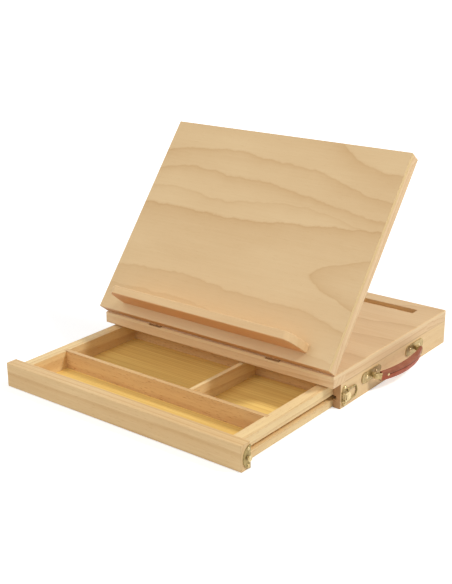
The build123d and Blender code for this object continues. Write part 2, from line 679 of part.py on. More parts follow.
def strike_screw_places():
    """The strike's screws, in the right end of the drawer front."""
    y = DRAWER_BACK_OF_FRONT - STRIKE_SCREW_FROM_BACK
    return [outward(1) * Pos(y, LATCH_Z + side * STRIKE_SCREW_SPACING / 2, LATCH_PLATE) for side in (-1, 1)]


def strike_plate():
    """The half-round strike, with the hook that the bail drops behind."""
    half = STRIKE_HEIGHT / 2
    outline = make_face([
        Line((0, -half), (0, half)), ThreePointArc((0, half), (-STRIKE_DEPTH, 0), (0, -half))])
    plate = outward(1) * Pos(DRAWER_BACK_OF_FRONT, LATCH_Z) * extrude(outline, LATCH_PLATE)
    neck_y = DRAWER_Y + BAIL_HOOKED_Y + BAIL_WIRE / 2 + HOOK_GAP
    lip = HALF + BAIL_HOOKED_OUT + BAIL_WIRE / 2 + HOOK_GAP
    z0, z1 = LATCH_Z - HOOK_WIDTH / 2, LATCH_Z + HOOK_WIDTH / 2
    plate += block(HALF, lip + HOOK_SHEET, neck_y, neck_y + HOOK_SHEET, z0, z1)
    plate += block(lip, lip + HOOK_SHEET, neck_y - HOOK_REACH, neck_y, z0, z1)
    for place in strike_screw_places():
        plate -= place * dome_screw_hole()
    return plate


# ---------------------------------------------------------------- the handle
def handle_plate_middles():
    """The y of the front and rear handle plates."""
    return [FRONT_Y + HANDLE_FRONT_Y, FRONT_Y + HANDLE_REAR_Y]


def handle_screw_places():
    """The screws of both handle plates."""
    return [
        outward(1) * Pos(y + side * HANDLE_SCREW_SPACING / 2, HANDLE_Z, HANDLE_PLATE)
        for y in handle_plate_middles() for side in (-1, 1)]


def handle_plate(y):
    """A handle plate with the lug that the strap's clip turns on."""
    outline = fillet(
        Rectangle(HANDLE_PLATE_LENGTH, HANDLE_PLATE_HEIGHT).vertices(), HANDLE_PLATE_HEIGHT * 0.42)
    plate = outward(1) * Pos(y, HANDLE_Z) * extrude(outline, HANDLE_PLATE)
    reach = HANDLE_AXIS_OUT - HANDLE_PLATE / 2
    lug = Circle(HANDLE_LUG_RADIUS) + Pos(-reach / 2, 0) * Rectangle(reach, 2 * HANDLE_LUG_RADIUS)
    frame = Plane(origin=(HANDLE_AXIS_X, y + HANDLE_LUG / 2, HANDLE_Z), x_dir=(1, 0, 0), z_dir=(0, -1, 0))
    plate += frame * extrude(lug, HANDLE_LUG)
    plate -= bar(
        HANDLE_PIN_RADIUS + PIN_GAP, (HANDLE_AXIS_X, y - HANDLE_LUG, HANDLE_Z),
        (HANDLE_AXIS_X, y + HANDLE_LUG, HANDLE_Z))
    for place in handle_screw_places():
        plate -= place * dome_screw_hole()
    return plate


def strap_curve(end_offset, middle_offset):
    """A bow from the front end to the rear end of the strap, offset outward from its centre line."""
    out, along = STRAP_END_OUT - HANDLE_AXIS_OUT, HANDLE_SPAN / 2 - STRAP_END_INSET
    return ThreePointArc(
        (out + end_offset, -along), (out + STRAP_BOW + middle_offset, 0), (out + end_offset, along))


def strap_inside():
    """The strap's inner face, seen from above."""
    return strap_curve(-STRAP_END_THICKNESS / 2, -STRAP_MID_THICKNESS / 2)


def handle_strap():
    """The leather strap: flat ends, padded in the middle, bowed away from the wall."""
    inner = strap_inside()
    outer = strap_curve(STRAP_END_THICKNESS / 2, STRAP_MID_THICKNESS / 2)
    outline = make_face([inner, outer, Line(inner @ 0, outer @ 0), Line(inner @ 1, outer @ 1)])
    strap = Pos(0, 0, -STRAP_HEIGHT / 2) * extrude(outline, STRAP_HEIGHT)
    strap = chamfer(strap.edges().filter_by(lambda e: e.length > HANDLE_SPAN / 2), STRAP_BEVEL)
    return strap - rivet(-1) - rivet(1)


def rivet_frame(end):
    """A frame on the strap's inner face at a rivet, its z pointing out through the strap."""
    inner = strap_inside()
    share = RIVET_FROM_END / inner.length
    share = share if end < 0 else 1 - share
    run = inner % share
    normal = Vector(abs(run.Y), -run.X if run.Y > 0 else run.X, 0)
    return Plane(origin=inner @ share, x_dir=(0, 0, 1), z_dir=normal)


def strap_thickness(distance):
    """How thick the strap is at a distance along its inner face from an end."""
    share = distance / strap_inside().length
    outer = strap_curve(STRAP_END_THICKNESS / 2, STRAP_MID_THICKNESS / 2)
    return outer.distance_to(Vertex(*(strap_inside() @ share)))


def rivet(end):
    """A rivet with a low round head on the strap's outside."""
    grip = strap_thickness(RIVET_FROM_END)
    solid = Pos(0, 0, -CLIP_SHEET) * extrude(disc(RIVET_RADIUS), grip + CLIP_SHEET)
    return rivet_frame(end) * (solid + Pos(0, 0, grip) * raised_head(RIVET_HEAD_RADIUS, RIVET_HEAD))


def clip_line():
    """The middle line of the front clip's sheet: flat past the lug, then bent to lie inside the strap."""
    inner = strap_inside()
    start, lap_end = inner @ 0, inner @ (CLIP_LAP / inner.length)
    run = (lap_end - start).normalized()
    inward = Vector(-run.Y, run.X, 0) * (CLIP_SHEET / 2 + PIN_GAP)
    bend = start + inward - run * CLIP_BEND
    reach = HANDLE_LUG / 2 + CLIP_SIDE_GAP + CLIP_SHEET
    return Vector(bend.X, -HANDLE_SPAN / 2 - reach, 0), bend, lap_end + inward


def clip_cheek():
    """A side of a clip, seen along the pin: round about the pin and spreading to the clip's full height."""
    reach = clip_line()[0].X
    half = CLIP_HEIGHT / 2
    spread = make_face(Polyline(
        (0, -HANDLE_LUG_RADIUS), (reach, -half), (reach, half), (0, HANDLE_LUG_RADIUS), close=True))
    return Circle(HANDLE_LUG_RADIUS) + spread


def handle_clip(end):
    """A bent brass clip: a tongue riveted inside the strap's end and two cheeks on either side of a lug."""
    middle = FilletPolyline(*clip_line(), radius=2 * CLIP_SHEET)
    clip = Pos(0, 0, -CLIP_HEIGHT / 2) * extrude(trace(middle, CLIP_SHEET), CLIP_HEIGHT)
    reach = HANDLE_LUG / 2 + CLIP_SIDE_GAP + CLIP_SHEET
    for y in (-HANDLE_SPAN / 2 - reach, -HANDLE_SPAN / 2 + reach - CLIP_SHEET):
        frame = Plane(origin=(0, y + CLIP_SHEET, 0), x_dir=(1, 0, 0), z_dir=(0, -1, 0))
        clip += frame * extrude(clip_cheek(), CLIP_SHEET)
    clip -= rivet(-1) + handle_pin(-1)
    return clip if end < 0 else mirror(clip, Plane.XZ)


def handle_pin(end):
    """The pin through a clip and its lug."""
    reach = HANDLE_LUG / 2 + CLIP_SIDE_GAP + CLIP_SHEET
    y = end * HANDLE_SPAN / 2
    return bar(HANDLE_PIN_RADIUS, (0, y - reach, 0), (0, y + reach, 0))


# ---------------------------------------------------------------- assembly
def pieces():
    """Every piece with its name, as lists of separate solids where one name holds several."""
    sides = {"left": -1, "right": 1}
    board = {
        "board_panel": [board_panel()],
        "board_bottom_rail": [board_bottom_rail()],
        "board_top_rail": [board_top_rail()],
        "canvas_ledge": [canvas_ledge()],
        "ledge_screws": [
            place * flat_screw(LEDGE_SCREW_RADIUS, LEDGE_SCREW_HEAD, LEDGE_SCREW_LENGTH)
            for place in ledge_screw_places()],
        "board_hinge_screws": board_screws(),
        "prop_rod": [prop_rod()]}
    for name, side in sides.items():
        board[f"board_side_rail_{name}"] = [board_side_rail(side)]
        board[f"board_hinge_leaf_{name}"] = [Pos(side * HINGE_X, 0, 0) * board_leaf()]
        board[f"prop_block_{name}"] = [prop_block(side)]
    prop = {
        "prop_head_bar": [prop_head_bar()],
        "prop_foot_dowel": [prop_foot_dowel()],
        "prop_foot_grip": [prop_foot_grip()]}
    for name, side in sides.items():
        prop[f"prop_stile_{name}"] = [prop_stile(side)]
    handle = {
        "handle_strap": [handle_strap()],
        "handle_rivets": [rivet(-1), rivet(1)],
        "handle_pins": [handle_pin(-1), handle_pin(1)],
        "handle_clip_front": [handle_clip(-1)],
        "handle_clip_rear": [handle_clip(1)]}
    front_y, rear_y = handle_plate_middles()
    fixed = {
        "back_wall": [back_wall()],
        "deck_panel": [deck_panel()],
        "deck_front_rail": [deck_front_rail()],
        "deck_rear_rail": [deck_rear_rail()],
        "deck_hinge_screws": [place * small_screw() for place in deck_screw_places()],
        "hinge_pins": [base_leaf_place(side) * hinge_pin() for side in (-1, 1)],
        "drawer_front": [drawer_front()],
        "drawer_rear_wall": [drawer_rear_wall()],
        "drawer_bottom": [drawer_bottom()],
        "drawer_long_divider": [drawer_long_divider()],
        "drawer_cross_divider": [drawer_cross_divider()],
        "strike_plate": [strike_plate()],
        "strike_screws": [place * dome_screw() for place in strike_screw_places()],
        "latch_base_plate": [latch_base_plate()],
        "latch_pin": [latch_pin()],
        "latch_lever": [latch_lever()],
        "latch_bail": [latch_bail()],
        "latch_screws": [place * dome_screw() for place in latch_screw_places()],
        "handle_plate_front": [handle_plate(front_y)],
        "handle_plate_rear": [handle_plate(rear_y)],
        "handle_screws": [place * dome_screw() for place in handle_screw_places()]}
    for name, side in sides.items():
        fixed[f"side_wall_{name}"] = [side_wall(side)]
        fixed[f"runner_{name}"] = [runner(side)]
        fixed[f"deck_side_rail_{name}"] = [deck_side_rail(side)]
        fixed[f"deck_hinge_leaf_{name}"] = [base_leaf_place(side) * hinge_leaf(0, BOARD_GAP)]
        fixed[f"drawer_side_{name}"] = [drawer_side(side)]
    for group, place in ((board, BOARD_PLACE), (prop, PROP_PLACE), (handle, HANDLE_PLACE)):
        fixed.update({name: [place * solid for solid in solids] for name, solids in group.items()})
    return fixed


def main():
    """Write every piece to its own STEP file."""
    os.makedirs("parts", exist_ok=True)
    for name, solids in pieces().items():
        shape = solids[0] if len(solids) == 1 else Compound(children=solids)
        export_step(shape, f"parts/{name}.step")


if __name__ == "__main__":
    main()
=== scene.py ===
"""Looks of a table-top pochade box: its woods, brass, leather and rubber, in plain studio light."""

from __future__ import annotations

import json
import logging
import math
import sys
from collections.abc import Iterable
from dataclasses import dataclass, field
from enum import Enum
from functools import cache, partialmethod
from typing import ClassVar

import bmesh
import bpy
from bmesh.types import BMEdge, BMesh, BMFace, BMVert
from bpy.types import Material, Node, NodeInputs, NodeSocket, NodeTree, Object
from mathutils import Matrix, Vector


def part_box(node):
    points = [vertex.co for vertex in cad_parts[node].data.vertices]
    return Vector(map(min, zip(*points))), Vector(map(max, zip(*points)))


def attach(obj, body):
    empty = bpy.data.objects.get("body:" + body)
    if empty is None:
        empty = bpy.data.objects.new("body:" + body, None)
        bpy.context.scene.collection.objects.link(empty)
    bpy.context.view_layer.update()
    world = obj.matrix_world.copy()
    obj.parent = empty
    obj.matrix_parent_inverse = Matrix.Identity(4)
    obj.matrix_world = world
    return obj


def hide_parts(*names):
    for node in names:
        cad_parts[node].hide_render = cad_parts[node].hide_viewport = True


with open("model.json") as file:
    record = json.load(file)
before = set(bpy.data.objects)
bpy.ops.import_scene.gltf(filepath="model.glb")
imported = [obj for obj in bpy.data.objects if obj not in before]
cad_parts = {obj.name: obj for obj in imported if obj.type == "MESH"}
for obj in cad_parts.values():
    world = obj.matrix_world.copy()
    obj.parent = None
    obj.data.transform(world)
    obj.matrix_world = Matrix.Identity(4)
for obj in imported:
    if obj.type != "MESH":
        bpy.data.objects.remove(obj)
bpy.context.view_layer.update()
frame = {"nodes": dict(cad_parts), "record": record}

LOG = logging.getLogger("pochade_box")
MM = 0.001
Point = tuple[float, float, float]
Colour = tuple[float, float, float, float]
Inputs = dict[str | int, object]


def srgb(red: float, green: float, blue: float) -> Colour:
    """A colour written as it looks on screen (0 to 255), as Blender's linear RGBA.

    Args:
        red: Red, 0 to 255.
        green: Green, 0 to 255.
        blue: Blue, 0 to 255.

    Returns:
        The linear colour with full alpha.
    """
    shares = (value / 255 for value in (red, green, blue))
    linear = (share / 12.92 if share <= 0.04045 else ((share + 0.055) / 1.055) ** 2.4 for share in shares)
    return (*linear, 1.0)


# ---------------------------------------------------------------- node graphs
class Value:
    """A value that runs through a node graph. Arithmetic on it adds Math nodes."""

    def __init__(self, graph: Graph, socket: NodeSocket) -> None:
        """Holds the socket that the value comes from, and its graph."""
        self.graph, self.socket = graph, socket

    def then(self, operation: str, other: Value | float = 0.0) -> Value:
        """Runs the value through a Math node."""
        return self.graph.add("Math", {0: self, 1: other}, operation=operation)

    __add__ = partialmethod(then, "ADD")
    __sub__ = partialmethod(then, "SUBTRACT")
    __mul__ = partialmethod(then, "MULTIPLY")
    __truediv__ = partialmethod(then, "DIVIDE")
    __pow__ = partialmethod(then, "POWER")
    __abs__ = partialmethod(then, "ABSOLUTE")


class Graph:
    """A node tree with short ways to add, set and join nodes."""

    def __init__(self, tree: NodeTree) -> None:
        """Wraps a tree."""
        self.tree = tree

    def put(self, inputs: NodeInputs, values: Inputs) -> None:
        """Sets inputs of a node.

        Args:
            inputs: The node's inputs.
            values: Graph values or plain ones, by input name or index.
        """
        for key, value in values.items():
            if isinstance(value, Value):
                self.tree.links.new(value.socket, inputs[key])
            else:
                inputs[key].default_value = value

    def node(self, kind: str, values: Inputs | None = None, **settings: object) -> Node:
        """Adds a node.

        Args:
            kind: The node's type, without the ShaderNode prefix.
            values: Its inputs.
            settings: Properties of the node.

        Returns:
            The new node.
        """
        node = self.tree.nodes.new(kind if kind.startswith("Node") else "ShaderNode" + kind)
        for name, value in settings.items():
            setattr(node, name, value)
        self.put(node.inputs, values or {})
        return node

    def add(
            self, kind: str, values: Inputs | None = None, output: str | int = 0,
            **settings: object) -> Value:
        """Adds a node and gives one of its outputs."""
        return Value(self, self.node(kind, values, **settings).outputs[output])

    def group(self, tree: NodeTree, values: Inputs) -> dict[str, Value]:
        """Adds a node group and gives its outputs by name."""
        return {item.name: Value(self, item) for item in self.node("Group", values, node_tree=tree).outputs}

    def place(self, output: str = "Object") -> Value:
        """Where a point of the piece lies, or the way its surface looks there (`Normal`)."""
        return self.add("TexCoord", output=output)

    def axes(self, vector: Value) -> list[Value]:
        """A vector's X, Y and Z."""
        return [Value(self, output) for output in self.node("SeparateXYZ", {0: vector}).outputs]

    def facing(self, direction: Iterable[float]) -> Value:
        """How far the surface looks along a direction, from -1 to 1."""
        return self.add(
            "VectorMath", {0: self.place("Normal"), 1: tuple(direction)}, "Value", operation="DOT_PRODUCT")

    def scaled(self, vector: Value, scale: object, turn: Point = (0.0, 0.0, 0.0)) -> Value:
        """A vector scaled along its axes and then turned."""
        return self.add("Mapping", {0: vector, "Scale": scale, "Rotation": turn})

    def noise(self, vector: Value, scale: float = 1.0, detail: float = 2.0, roughness: float = 0.5) -> Value:
        """Cloudy noise from 0 to 1, about 0.5 on the whole."""
        return self.add(
            "TexNoise", {"Vector": vector, "Scale": scale, "Detail": detail, "Roughness": roughness})

    def remap(
            self, value: Value, low: float, high: float, to_low: float = 0.0, to_high: float = 1.0) -> Value:
        """Brings a range of values evenly to another range, and holds the rest at its ends."""
        return self.add("MapRange", {0: value, 1: low, 2: high, 3: to_low, 4: to_high})

    def mix(self, share: Value | float, first: Value | Colour, second: Value | Colour) -> Value:
        """Mixes two colours by the second one's share."""
        return self.add("Mix", {0: share, 6: first, 7: second}, 2, data_type="RGBA")

    def shade(self, tone: Value, pale: Value | Colour, dark: Value | Colour) -> Value:
        """Mixes a pale and a dark colour by a tone, held between 0 and 1."""
        return self.mix(self.add("Clamp", {0: tone}), pale, dark)

    def ramp(
            self, value: Value, stops: tuple[tuple[float, float], ...],
            interpolation: str = "LINEAR") -> Value:
        """Adds a ramp of greys.

        Args:
            value: What drives it.
            stops: Positions with their greys, in order.
            interpolation: How the ramp runs between its stops.

        Returns:
            The grey.
        """
        node = self.node("ValToRGB", {0: value})
        node.color_ramp.interpolation = interpolation
        elements = node.color_ramp.elements
        while len(elements) > 1:
            elements.remove(elements[-1])
        for index, (position, grey) in enumerate(stops):
            element = elements.new(position) if index else elements[0]
            element.position, element.color = position, (grey, grey, grey, 1.0)
        return Value(self, node.outputs["Color"])

    def relief(self, height: Value, strength: float, depth: float, edge_radius: float = 0.0) -> Value:
        """Gives a surface relief, and softly broken edges where a radius is given.

        Args:
            height: The relief.
            strength: How much of it shows.
            depth: How deep it is, in metres.
            edge_radius: How far the edges are broken, in metres.

        Returns:
            The surface's direction.
        """
        values = {"Strength": strength, "Distance": depth, "Height": height}
        if edge_radius:
            values["Normal"] = self.add("Bevel", {"Radius": edge_radius}, samples=6)
        return self.add("Bump", values)

    def surface(self, values: Inputs) -> None:
        """Sets inputs of a material's Principled shader."""
        self.put(self.tree.nodes["Principled BSDF"].inputs, values)

    def finish_group(self, **outputs: Value) -> NodeTree:
        """Ends a node group.

        Args:
            outputs: Its outputs by name, of which only one called Color is a colour.

        Returns:
            The group.
        """
        for name in outputs:
            kind = "NodeSocketColor" if name == "Color" else "NodeSocketFloat"
            self.tree.interface.new_socket(name, in_out="OUTPUT", socket_type=kind)
        self.node("NodeGroupOutput", outputs)
        return self.tree


def start_group(name: str, inputs: dict[str, object]) -> tuple[Graph, dict[str, Value]]:
    """Starts a shader node group.

    Args:
        name: The group's name.
        inputs: Its inputs with their defaults: a number, a colour, or None for a vector.

    Returns:
        The group's graph, and its inputs by name.
    """
    tree = bpy.data.node_groups.new(name, "ShaderNodeTree")
    for label, default in inputs.items():
        kind = "Vector" if default is None else "Color" if isinstance(default, tuple) else "Float"
        socket = tree.interface.new_socket(label, in_out="INPUT", socket_type="NodeSocket" + kind)
        if default is not None:
            socket.default_value = default
    graph = Graph(tree)
    entry = graph.node("NodeGroupInput")
    return graph, {label: Value(graph, entry.outputs[label]) for label in inputs}


class Finish:
    """The looks of a surface, which each finish paints in its own way."""

    name: str

    def paint(self, graph: Graph) -> None:
        """Fills in the material's graph."""
        raise NotImplementedError

    def material(self) -> Material:
        """Builds the material.

        Returns:
            The material.
        """
        material = bpy.data.materials.new(self.name)
        material.use_nodes = True
        self.paint(Graph(material.node_tree))
        return material


Dressing = tuple[Finish, list[str]]


# ---------------------------------------------------------------- wood
class WoodGroups:
    """The node groups that the wood finishes share, each with the grain along X.

    The three-part scales are waves per metre along the grain, across it and into the wood. LATTICE_TURN turns
    a noise's own lattice away from the grain. PITH is where the middle of the growth rings lies, across and
    deep. RINGS and FIGURE are greys over one ring and one figure line. A range is what a mask or a roughness
    runs between. A tone of 0 is the pale colour and 1 the dark one.
    """

    LATTICE_TURN = (0.6, 0.35, 0.8)
    FIBRES = (12.0, 380.0, 380.0)
    PORES = (110.0, 1300.0, 1300.0)
    PORE_RANGE = (0.60, 0.76)
    CLOUDS = (7.0, 24.0, 24.0)
    STREAK_RANGE = (-0.2, 0.2)
    PITH = (0.035, 0.09)
    RING_DRIFT = (2.2, 14.0, 14.0)
    RINGS = ((0.0, 0.0), (0.55, 0.3), (0.86, 1.0), (0.93, 0.8), (1.0, 0.0))
    FLECK_CLOSENESS = 1100.0
    FLECK_RANGE = (0.62, 0.74)
    TIMBER_TONE = 0.18
    TIMBER_ROUGHNESS = (0.46, 0.60)
    FIGURE_DRIFT = (5.0, 7.0, 1.0)
    JITTER = (50.0, 30.0, 1.0)
    JITTER_REACH = 8.0 * MM
    FIGURE = ((0.0, 0.0), (0.30, 0.05), (0.70, 0.25), (0.93, 0.62), (0.965, 1.0), (1.0, 0.0))
    VENEER_TONE = 0.2
    VENEER_STREAK = 0.36
    VENEER_CLOUD = 0.5
    VENEER_PORES = 0.12
    VENEER_ROUGHNESS = (0.42, 0.56)
    LINE_SPACING = 3.8 * MM
    LINE_DRIFT = (2.5, 120.0, 1.0)
    LINE_WANDER = 12.0
    LINE_STRENGTH = 0.14
    BANDS = (6.0, 22.0, 1.0)
    BAND_STRENGTH = 0.4
    BAND_RANGE = (0.3, 0.7)
    HAIRS = (3.0, 210.0, 1.0)
    HAIR_STRENGTH = 1.1
    LEAF_TONE = -0.602
    LEAF_ROUGHNESS = (0.55, 0.7)
    INPUTS = {"Vector": None, "Pale": (0.8, 0.6, 0.4, 1), "Dark": (0.6, 0.4, 0.25, 1)}

    def __init__(self) -> None:
        """Builds the groups."""
        self.fibre = self._fibre()
        self.timber = self._timber()
        self.veneer = self._veneer()
        self.leaf = self._leaf()
        self.figure_line = self._figure_line()

    def _fibre(self) -> NodeTree:
        """Close fibres, pores and slow clouds of any wood.

        Returns:
            The group.
        """
        graph, given = start_group("fibre", {"Vector": None})
        vector = given["Vector"]
        streak = graph.noise(graph.scaled(vector, self.FIBRES, self.LATTICE_TURN), detail=4.0, roughness=0.65)
        pore = graph.noise(graph.scaled(vector, self.PORES, self.LATTICE_TURN), detail=1.0, roughness=0.45)
        pores = graph.remap(pore, *self.PORE_RANGE)
        cloud = graph.noise(graph.scaled(vector, self.CLOUDS, self.LATTICE_TURN))
        return graph.finish_group(
            Streak=streak - 0.5, Pores=pores, Cloud=cloud - 0.5, Height=streak * 0.5 - pores)

    @staticmethod
    def _figure_line() -> NodeTree:
        """One line of a veneer's figure: a thin dark edge that fades over a distance on its lower side.

        Returns:
            The group.
        """
        graph, given = start_group("figure_line", {
            "Height": 0.0, "Line": 0.0, "Fade": 0.012, "Strength": 0.6, "Edge": 0.0012,
            "Edge Strength": 0.35})
        below = given["Line"] - given["Height"]
        fade = below.then("MAXIMUM") / given["Fade"]
        rise = below.then("MINIMUM") / given["Edge"]
        body = (rise - fade).then("EXPONENT") * given["Strength"]
        edge = (abs(below) / given["Edge"] * -1.0).then("EXPONENT") * given["Edge Strength"]
        return graph.finish_group(Mask=body + edge)

    def _timber(self) -> NodeTree:
        """Solid timber: growth rings about a far pith, streaks and short flecks.

        Returns:
            The group.
        """
        graph, given = start_group("timber_grain", self.INPUTS | {
            "Ring Width": 0.007, "Ring Strength": 0.35, "Fleck Strength": 0.25, "Fleck Length": 160.0,
            "Wander": 0.03, "Streak Strength": 0.5, "Cloud Strength": 0.45})
        vector = given["Vector"]
        fibre = graph.group(self.fibre, {"Vector": vector})
        drift = graph.noise(graph.scaled(vector, self.RING_DRIFT))
        _, across, deep = graph.axes(vector)
        far = ((across + self.PITH[0]) ** 2.0 + (deep + self.PITH[1]) ** 2.0).then("SQRT")
        rings = (far + (drift - 0.5) * given["Wander"]) / given["Ring Width"]
        ring = graph.ramp(rings.then("FRACT"), self.RINGS, "EASE")
        scale = graph.add(
            "CombineXYZ", {0: given["Fleck Length"], 1: self.FLECK_CLOSENESS, 2: self.FLECK_CLOSENESS})
        fleck = graph.noise(graph.scaled(vector, scale, self.LATTICE_TURN), detail=1.0, roughness=0.4)
        tone = ring * given["Ring Strength"] + fibre["Streak"] * given["Streak Strength"]
        tone = tone + fibre["Cloud"] * given["Cloud Strength"]
        tone = tone + graph.remap(fleck, *self.FLECK_RANGE) * given["Fleck Strength"] + self.TIMBER_TONE
        return graph.finish_group(
            Color=graph.shade(tone, given["Pale"], given["Dark"]), Height=fibre["Height"],
            Roughness=graph.remap(fibre["Streak"], *self.STREAK_RANGE, *self.TIMBER_ROUGHNESS))

    def _veneer(self) -> NodeTree:
        """Rotary-cut veneer: long wandering figure lines, each dark on one side and fading off.

        Returns:
            The group.
        """
        graph, given = start_group("veneer_figure", self.INPUTS | {
            "Spacing": 0.04, "Lean": 0.12, "Wander": 0.06, "Line Strength": 0.6})
        vector = given["Vector"]
        fibre = graph.group(self.fibre, {"Vector": vector})
        drift = graph.noise(graph.scaled(vector, self.FIGURE_DRIFT), detail=1.0, roughness=0.4)
        jitter = graph.noise(graph.scaled(vector, self.JITTER), detail=3.0, roughness=0.55)
        along, across, _ = graph.axes(vector)
        level = across + along * given["Lean"] + (drift - 0.5) * given["Wander"]
        level = level + (jitter - 0.5) * self.JITTER_REACH
        shade = graph.ramp((level / given["Spacing"]).then("FRACT"), self.FIGURE)
        tone = shade * given["Line Strength"] + fibre["Streak"] * self.VENEER_STREAK + self.VENEER_TONE
        tone = tone + fibre["Cloud"] * self.VENEER_CLOUD + fibre["Pores"] * self.VENEER_PORES
        return graph.finish_group(
            Color=graph.shade(tone, given["Pale"], given["Dark"]), Height=fibre["Height"],
            Roughness=graph.remap(fibre["Streak"], *self.STREAK_RANGE, *self.VENEER_ROUGHNESS))

    def _leaf(self) -> NodeTree:
        """Fine-lined plywood: narrow straight lines, as on the drawer's bottom.

        Returns:
            The group.
        """
        graph, given = start_group("fine_lined_ply", self.INPUTS)
        vector = given["Vector"]
        across = graph.axes(vector)[1]
        drift = graph.noise(graph.scaled(vector, self.LINE_DRIFT, self.LATTICE_TURN), detail=1.0)
        wave = (across / (self.LINE_SPACING / (2 * math.pi)) + drift * self.LINE_WANDER).then("SINE")
        band = graph.noise(graph.scaled(vector, self.BANDS), roughness=0.6)
        hair = graph.noise(graph.scaled(vector, self.HAIRS), roughness=0.6)
        tone = (wave * 0.5 + 0.5) * self.LINE_STRENGTH + band * self.BAND_STRENGTH + hair * self.HAIR_STRENGTH
        tone = tone + self.LEAF_TONE
        return graph.finish_group(
            Color=graph.shade(tone, given["Pale"], given["Dark"]), Height=band,
            Roughness=graph.remap(band, *self.BAND_RANGE, *self.LEAF_ROUGHNESS))


@cache
def wood_groups() -> WoodGroups:
    """The wood node groups, which are built once."""
    return WoodGroups()


class Cut(Enum):
    """How a wood was cut, as the name of its node group."""

    TIMBER = "timber"
    VENEER = "veneer"
    LEAF = "leaf"


class Grain(Enum):
    """The way a piece's grain runs, as the turn in degrees that brings it to the node groups' X."""

    ALONG_X = (0.0, 0.0, 0.0)
    ALONG_Y = (0.0, 0.0, -90.0)
    ON_BOARD = (-52.0, 0.0, 0.0)
    UP_BOARD = (-52.0, 0.0, -90.0)

    @property
    def turn(self) -> Point:
        """The turn in radians."""
        return tuple(math.radians(angle) for angle in self.value)


def on_board(x: float, y: float, z: float) -> Vector:
    """A direction given in the board's own axes (Y up its face, Z out of it), in the frame's axes."""
    return Matrix.Rotation(-Grain.ON_BOARD.turn[0], 3, "X") @ Vector((x, y, z))


def foot_faces(graph: Graph) -> Value:
    """A mask that is 1 on the faces that look towards the board's foot, where the finishes paint shade."""
    return graph.remap(graph.facing(on_board(0.0, -1.0, 0.0)), 0.6, 0.8)


def edge_faces(graph: Graph, face: Iterable[float]) -> Value:
    """A mask that is 1 on a panel's narrow edges, given the way that its broad face looks."""
    return graph.remap(abs(graph.facing(face)), 0.5, 0.3)


class Wood(Finish):
    """What the wood finishes share: fine relief, softly broken edges and a thin coat of varnish."""

    coat: float

    RELIEF = 0.22
    RELIEF_DEPTH = 0.3 * MM
    EDGE_RADIUS = 0.35 * MM
    SHEEN = 0.3
    COAT_ROUGHNESS = 0.4

    def varnish(self, graph: Graph, colour: Value, roughness: Value, height: Value) -> None:
        """Joins the wood's looks to its shader.

        Args:
            graph: The material's graph.
            colour: The wood's colour.
            roughness: The wood's roughness.
            height: The wood's relief.
        """
        graph.surface({
            "Base Color": colour, "Roughness": roughness, "Specular IOR Level": self.SHEEN,
            "Normal": graph.relief(height, self.RELIEF, self.RELIEF_DEPTH, self.EDGE_RADIUS),
            "Coat Weight": self.coat, "Coat Roughness": self.COAT_ROUGHNESS})


@dataclass(frozen=True)
class WoodFinish(Wood):
    """A wood with an oiled or varnished surface."""

    name: str
    pale: Colour
    dark: Colour
    cut: Cut = Cut.TIMBER
    grain: Grain = Grain.ALONG_X
    offset: Point = (0.0, 0.0, 0.0)
    values: dict[str, float] = field(default_factory=dict)
    end_grain: Colour | None = None
    edge: Colour | None = None
    # Painted shade: a darker, warmer colour on the faces that look towards the board's foot, which lie in
    # shade.
    underside_shade: Colour | None = None
    # The joint line is painted shade: a thin dark line along the joint at the wall's top, standing in for the
    # shade in the gap between the deck's rail and the wall.
    joint_height: float | None = None
    joint_width: float = 0.4 * MM
    joint_strength: float = 0.55
    joint: Colour = srgb(160, 112, 70)
    coat: float = 0.06

    def paint(self, graph: Graph) -> None:
        """Paints the wood.

        Args:
            graph: The material's graph.
        """
        groups = wood_groups()
        centred = graph.add(
            "Mapping", {0: graph.place(), "Location": self.offset, "Rotation": self.grain.turn})
        wood = graph.group(getattr(groups, self.cut.value), {
            "Vector": centred, "Pale": self.pale, "Dark": self.dark, **self.values})
        colour = wood["Color"]
        if self.end_grain:
            axis = 0 if self.grain in (Grain.ALONG_X, Grain.ON_BOARD) else 1
            sideways = abs(graph.axes(graph.place("Normal"))[axis])
            colour = graph.mix(graph.remap(sideways, 0.8, 0.9, 0.0, 0.75), colour, self.end_grain)
        if self.edge:
            colour = graph.mix(edge_faces(graph, (0.0, 0.0, 1.0)), colour, self.edge)
        # Painted shade on the faces towards the board's foot.
        if self.underside_shade:
            colour = graph.mix(foot_faces(graph), colour, self.underside_shade)
        # Painted shade along the joint between the deck's rail and the wall.
        if self.joint_height is not None:
            away = abs(graph.axes(graph.place())[2] - self.joint_height) / self.joint_width
            line = (away * -1.0).then("EXPONENT") * self.joint_strength
            colour = graph.mix(line, colour, self.joint)
        self.varnish(graph, colour, wood["Roughness"], wood["Height"])


@dataclass(frozen=True)
class FigureLine:
    """A line of the board's figure: its height up the board in mm at seven even places from left to right."""

    heights: tuple[float, ...]
    fade: float
    strength: float
    edge: float

    def mask(self, graph: Graph, groups: WoodGroups, height: Value, level: Value | float) -> Value:
        """How dark the line makes each place.

        Args:
            graph: The material's graph.
            groups: The shared wood node groups.
            height: The place's height.
            level: The line's height there.

        Returns:
            The mask.
        """
        return graph.group(groups.figure_line, {
            "Height": height, "Line": level, "Fade": self.fade * MM, "Strength": self.strength,
            "Edge Strength": self.edge})["Mask"]


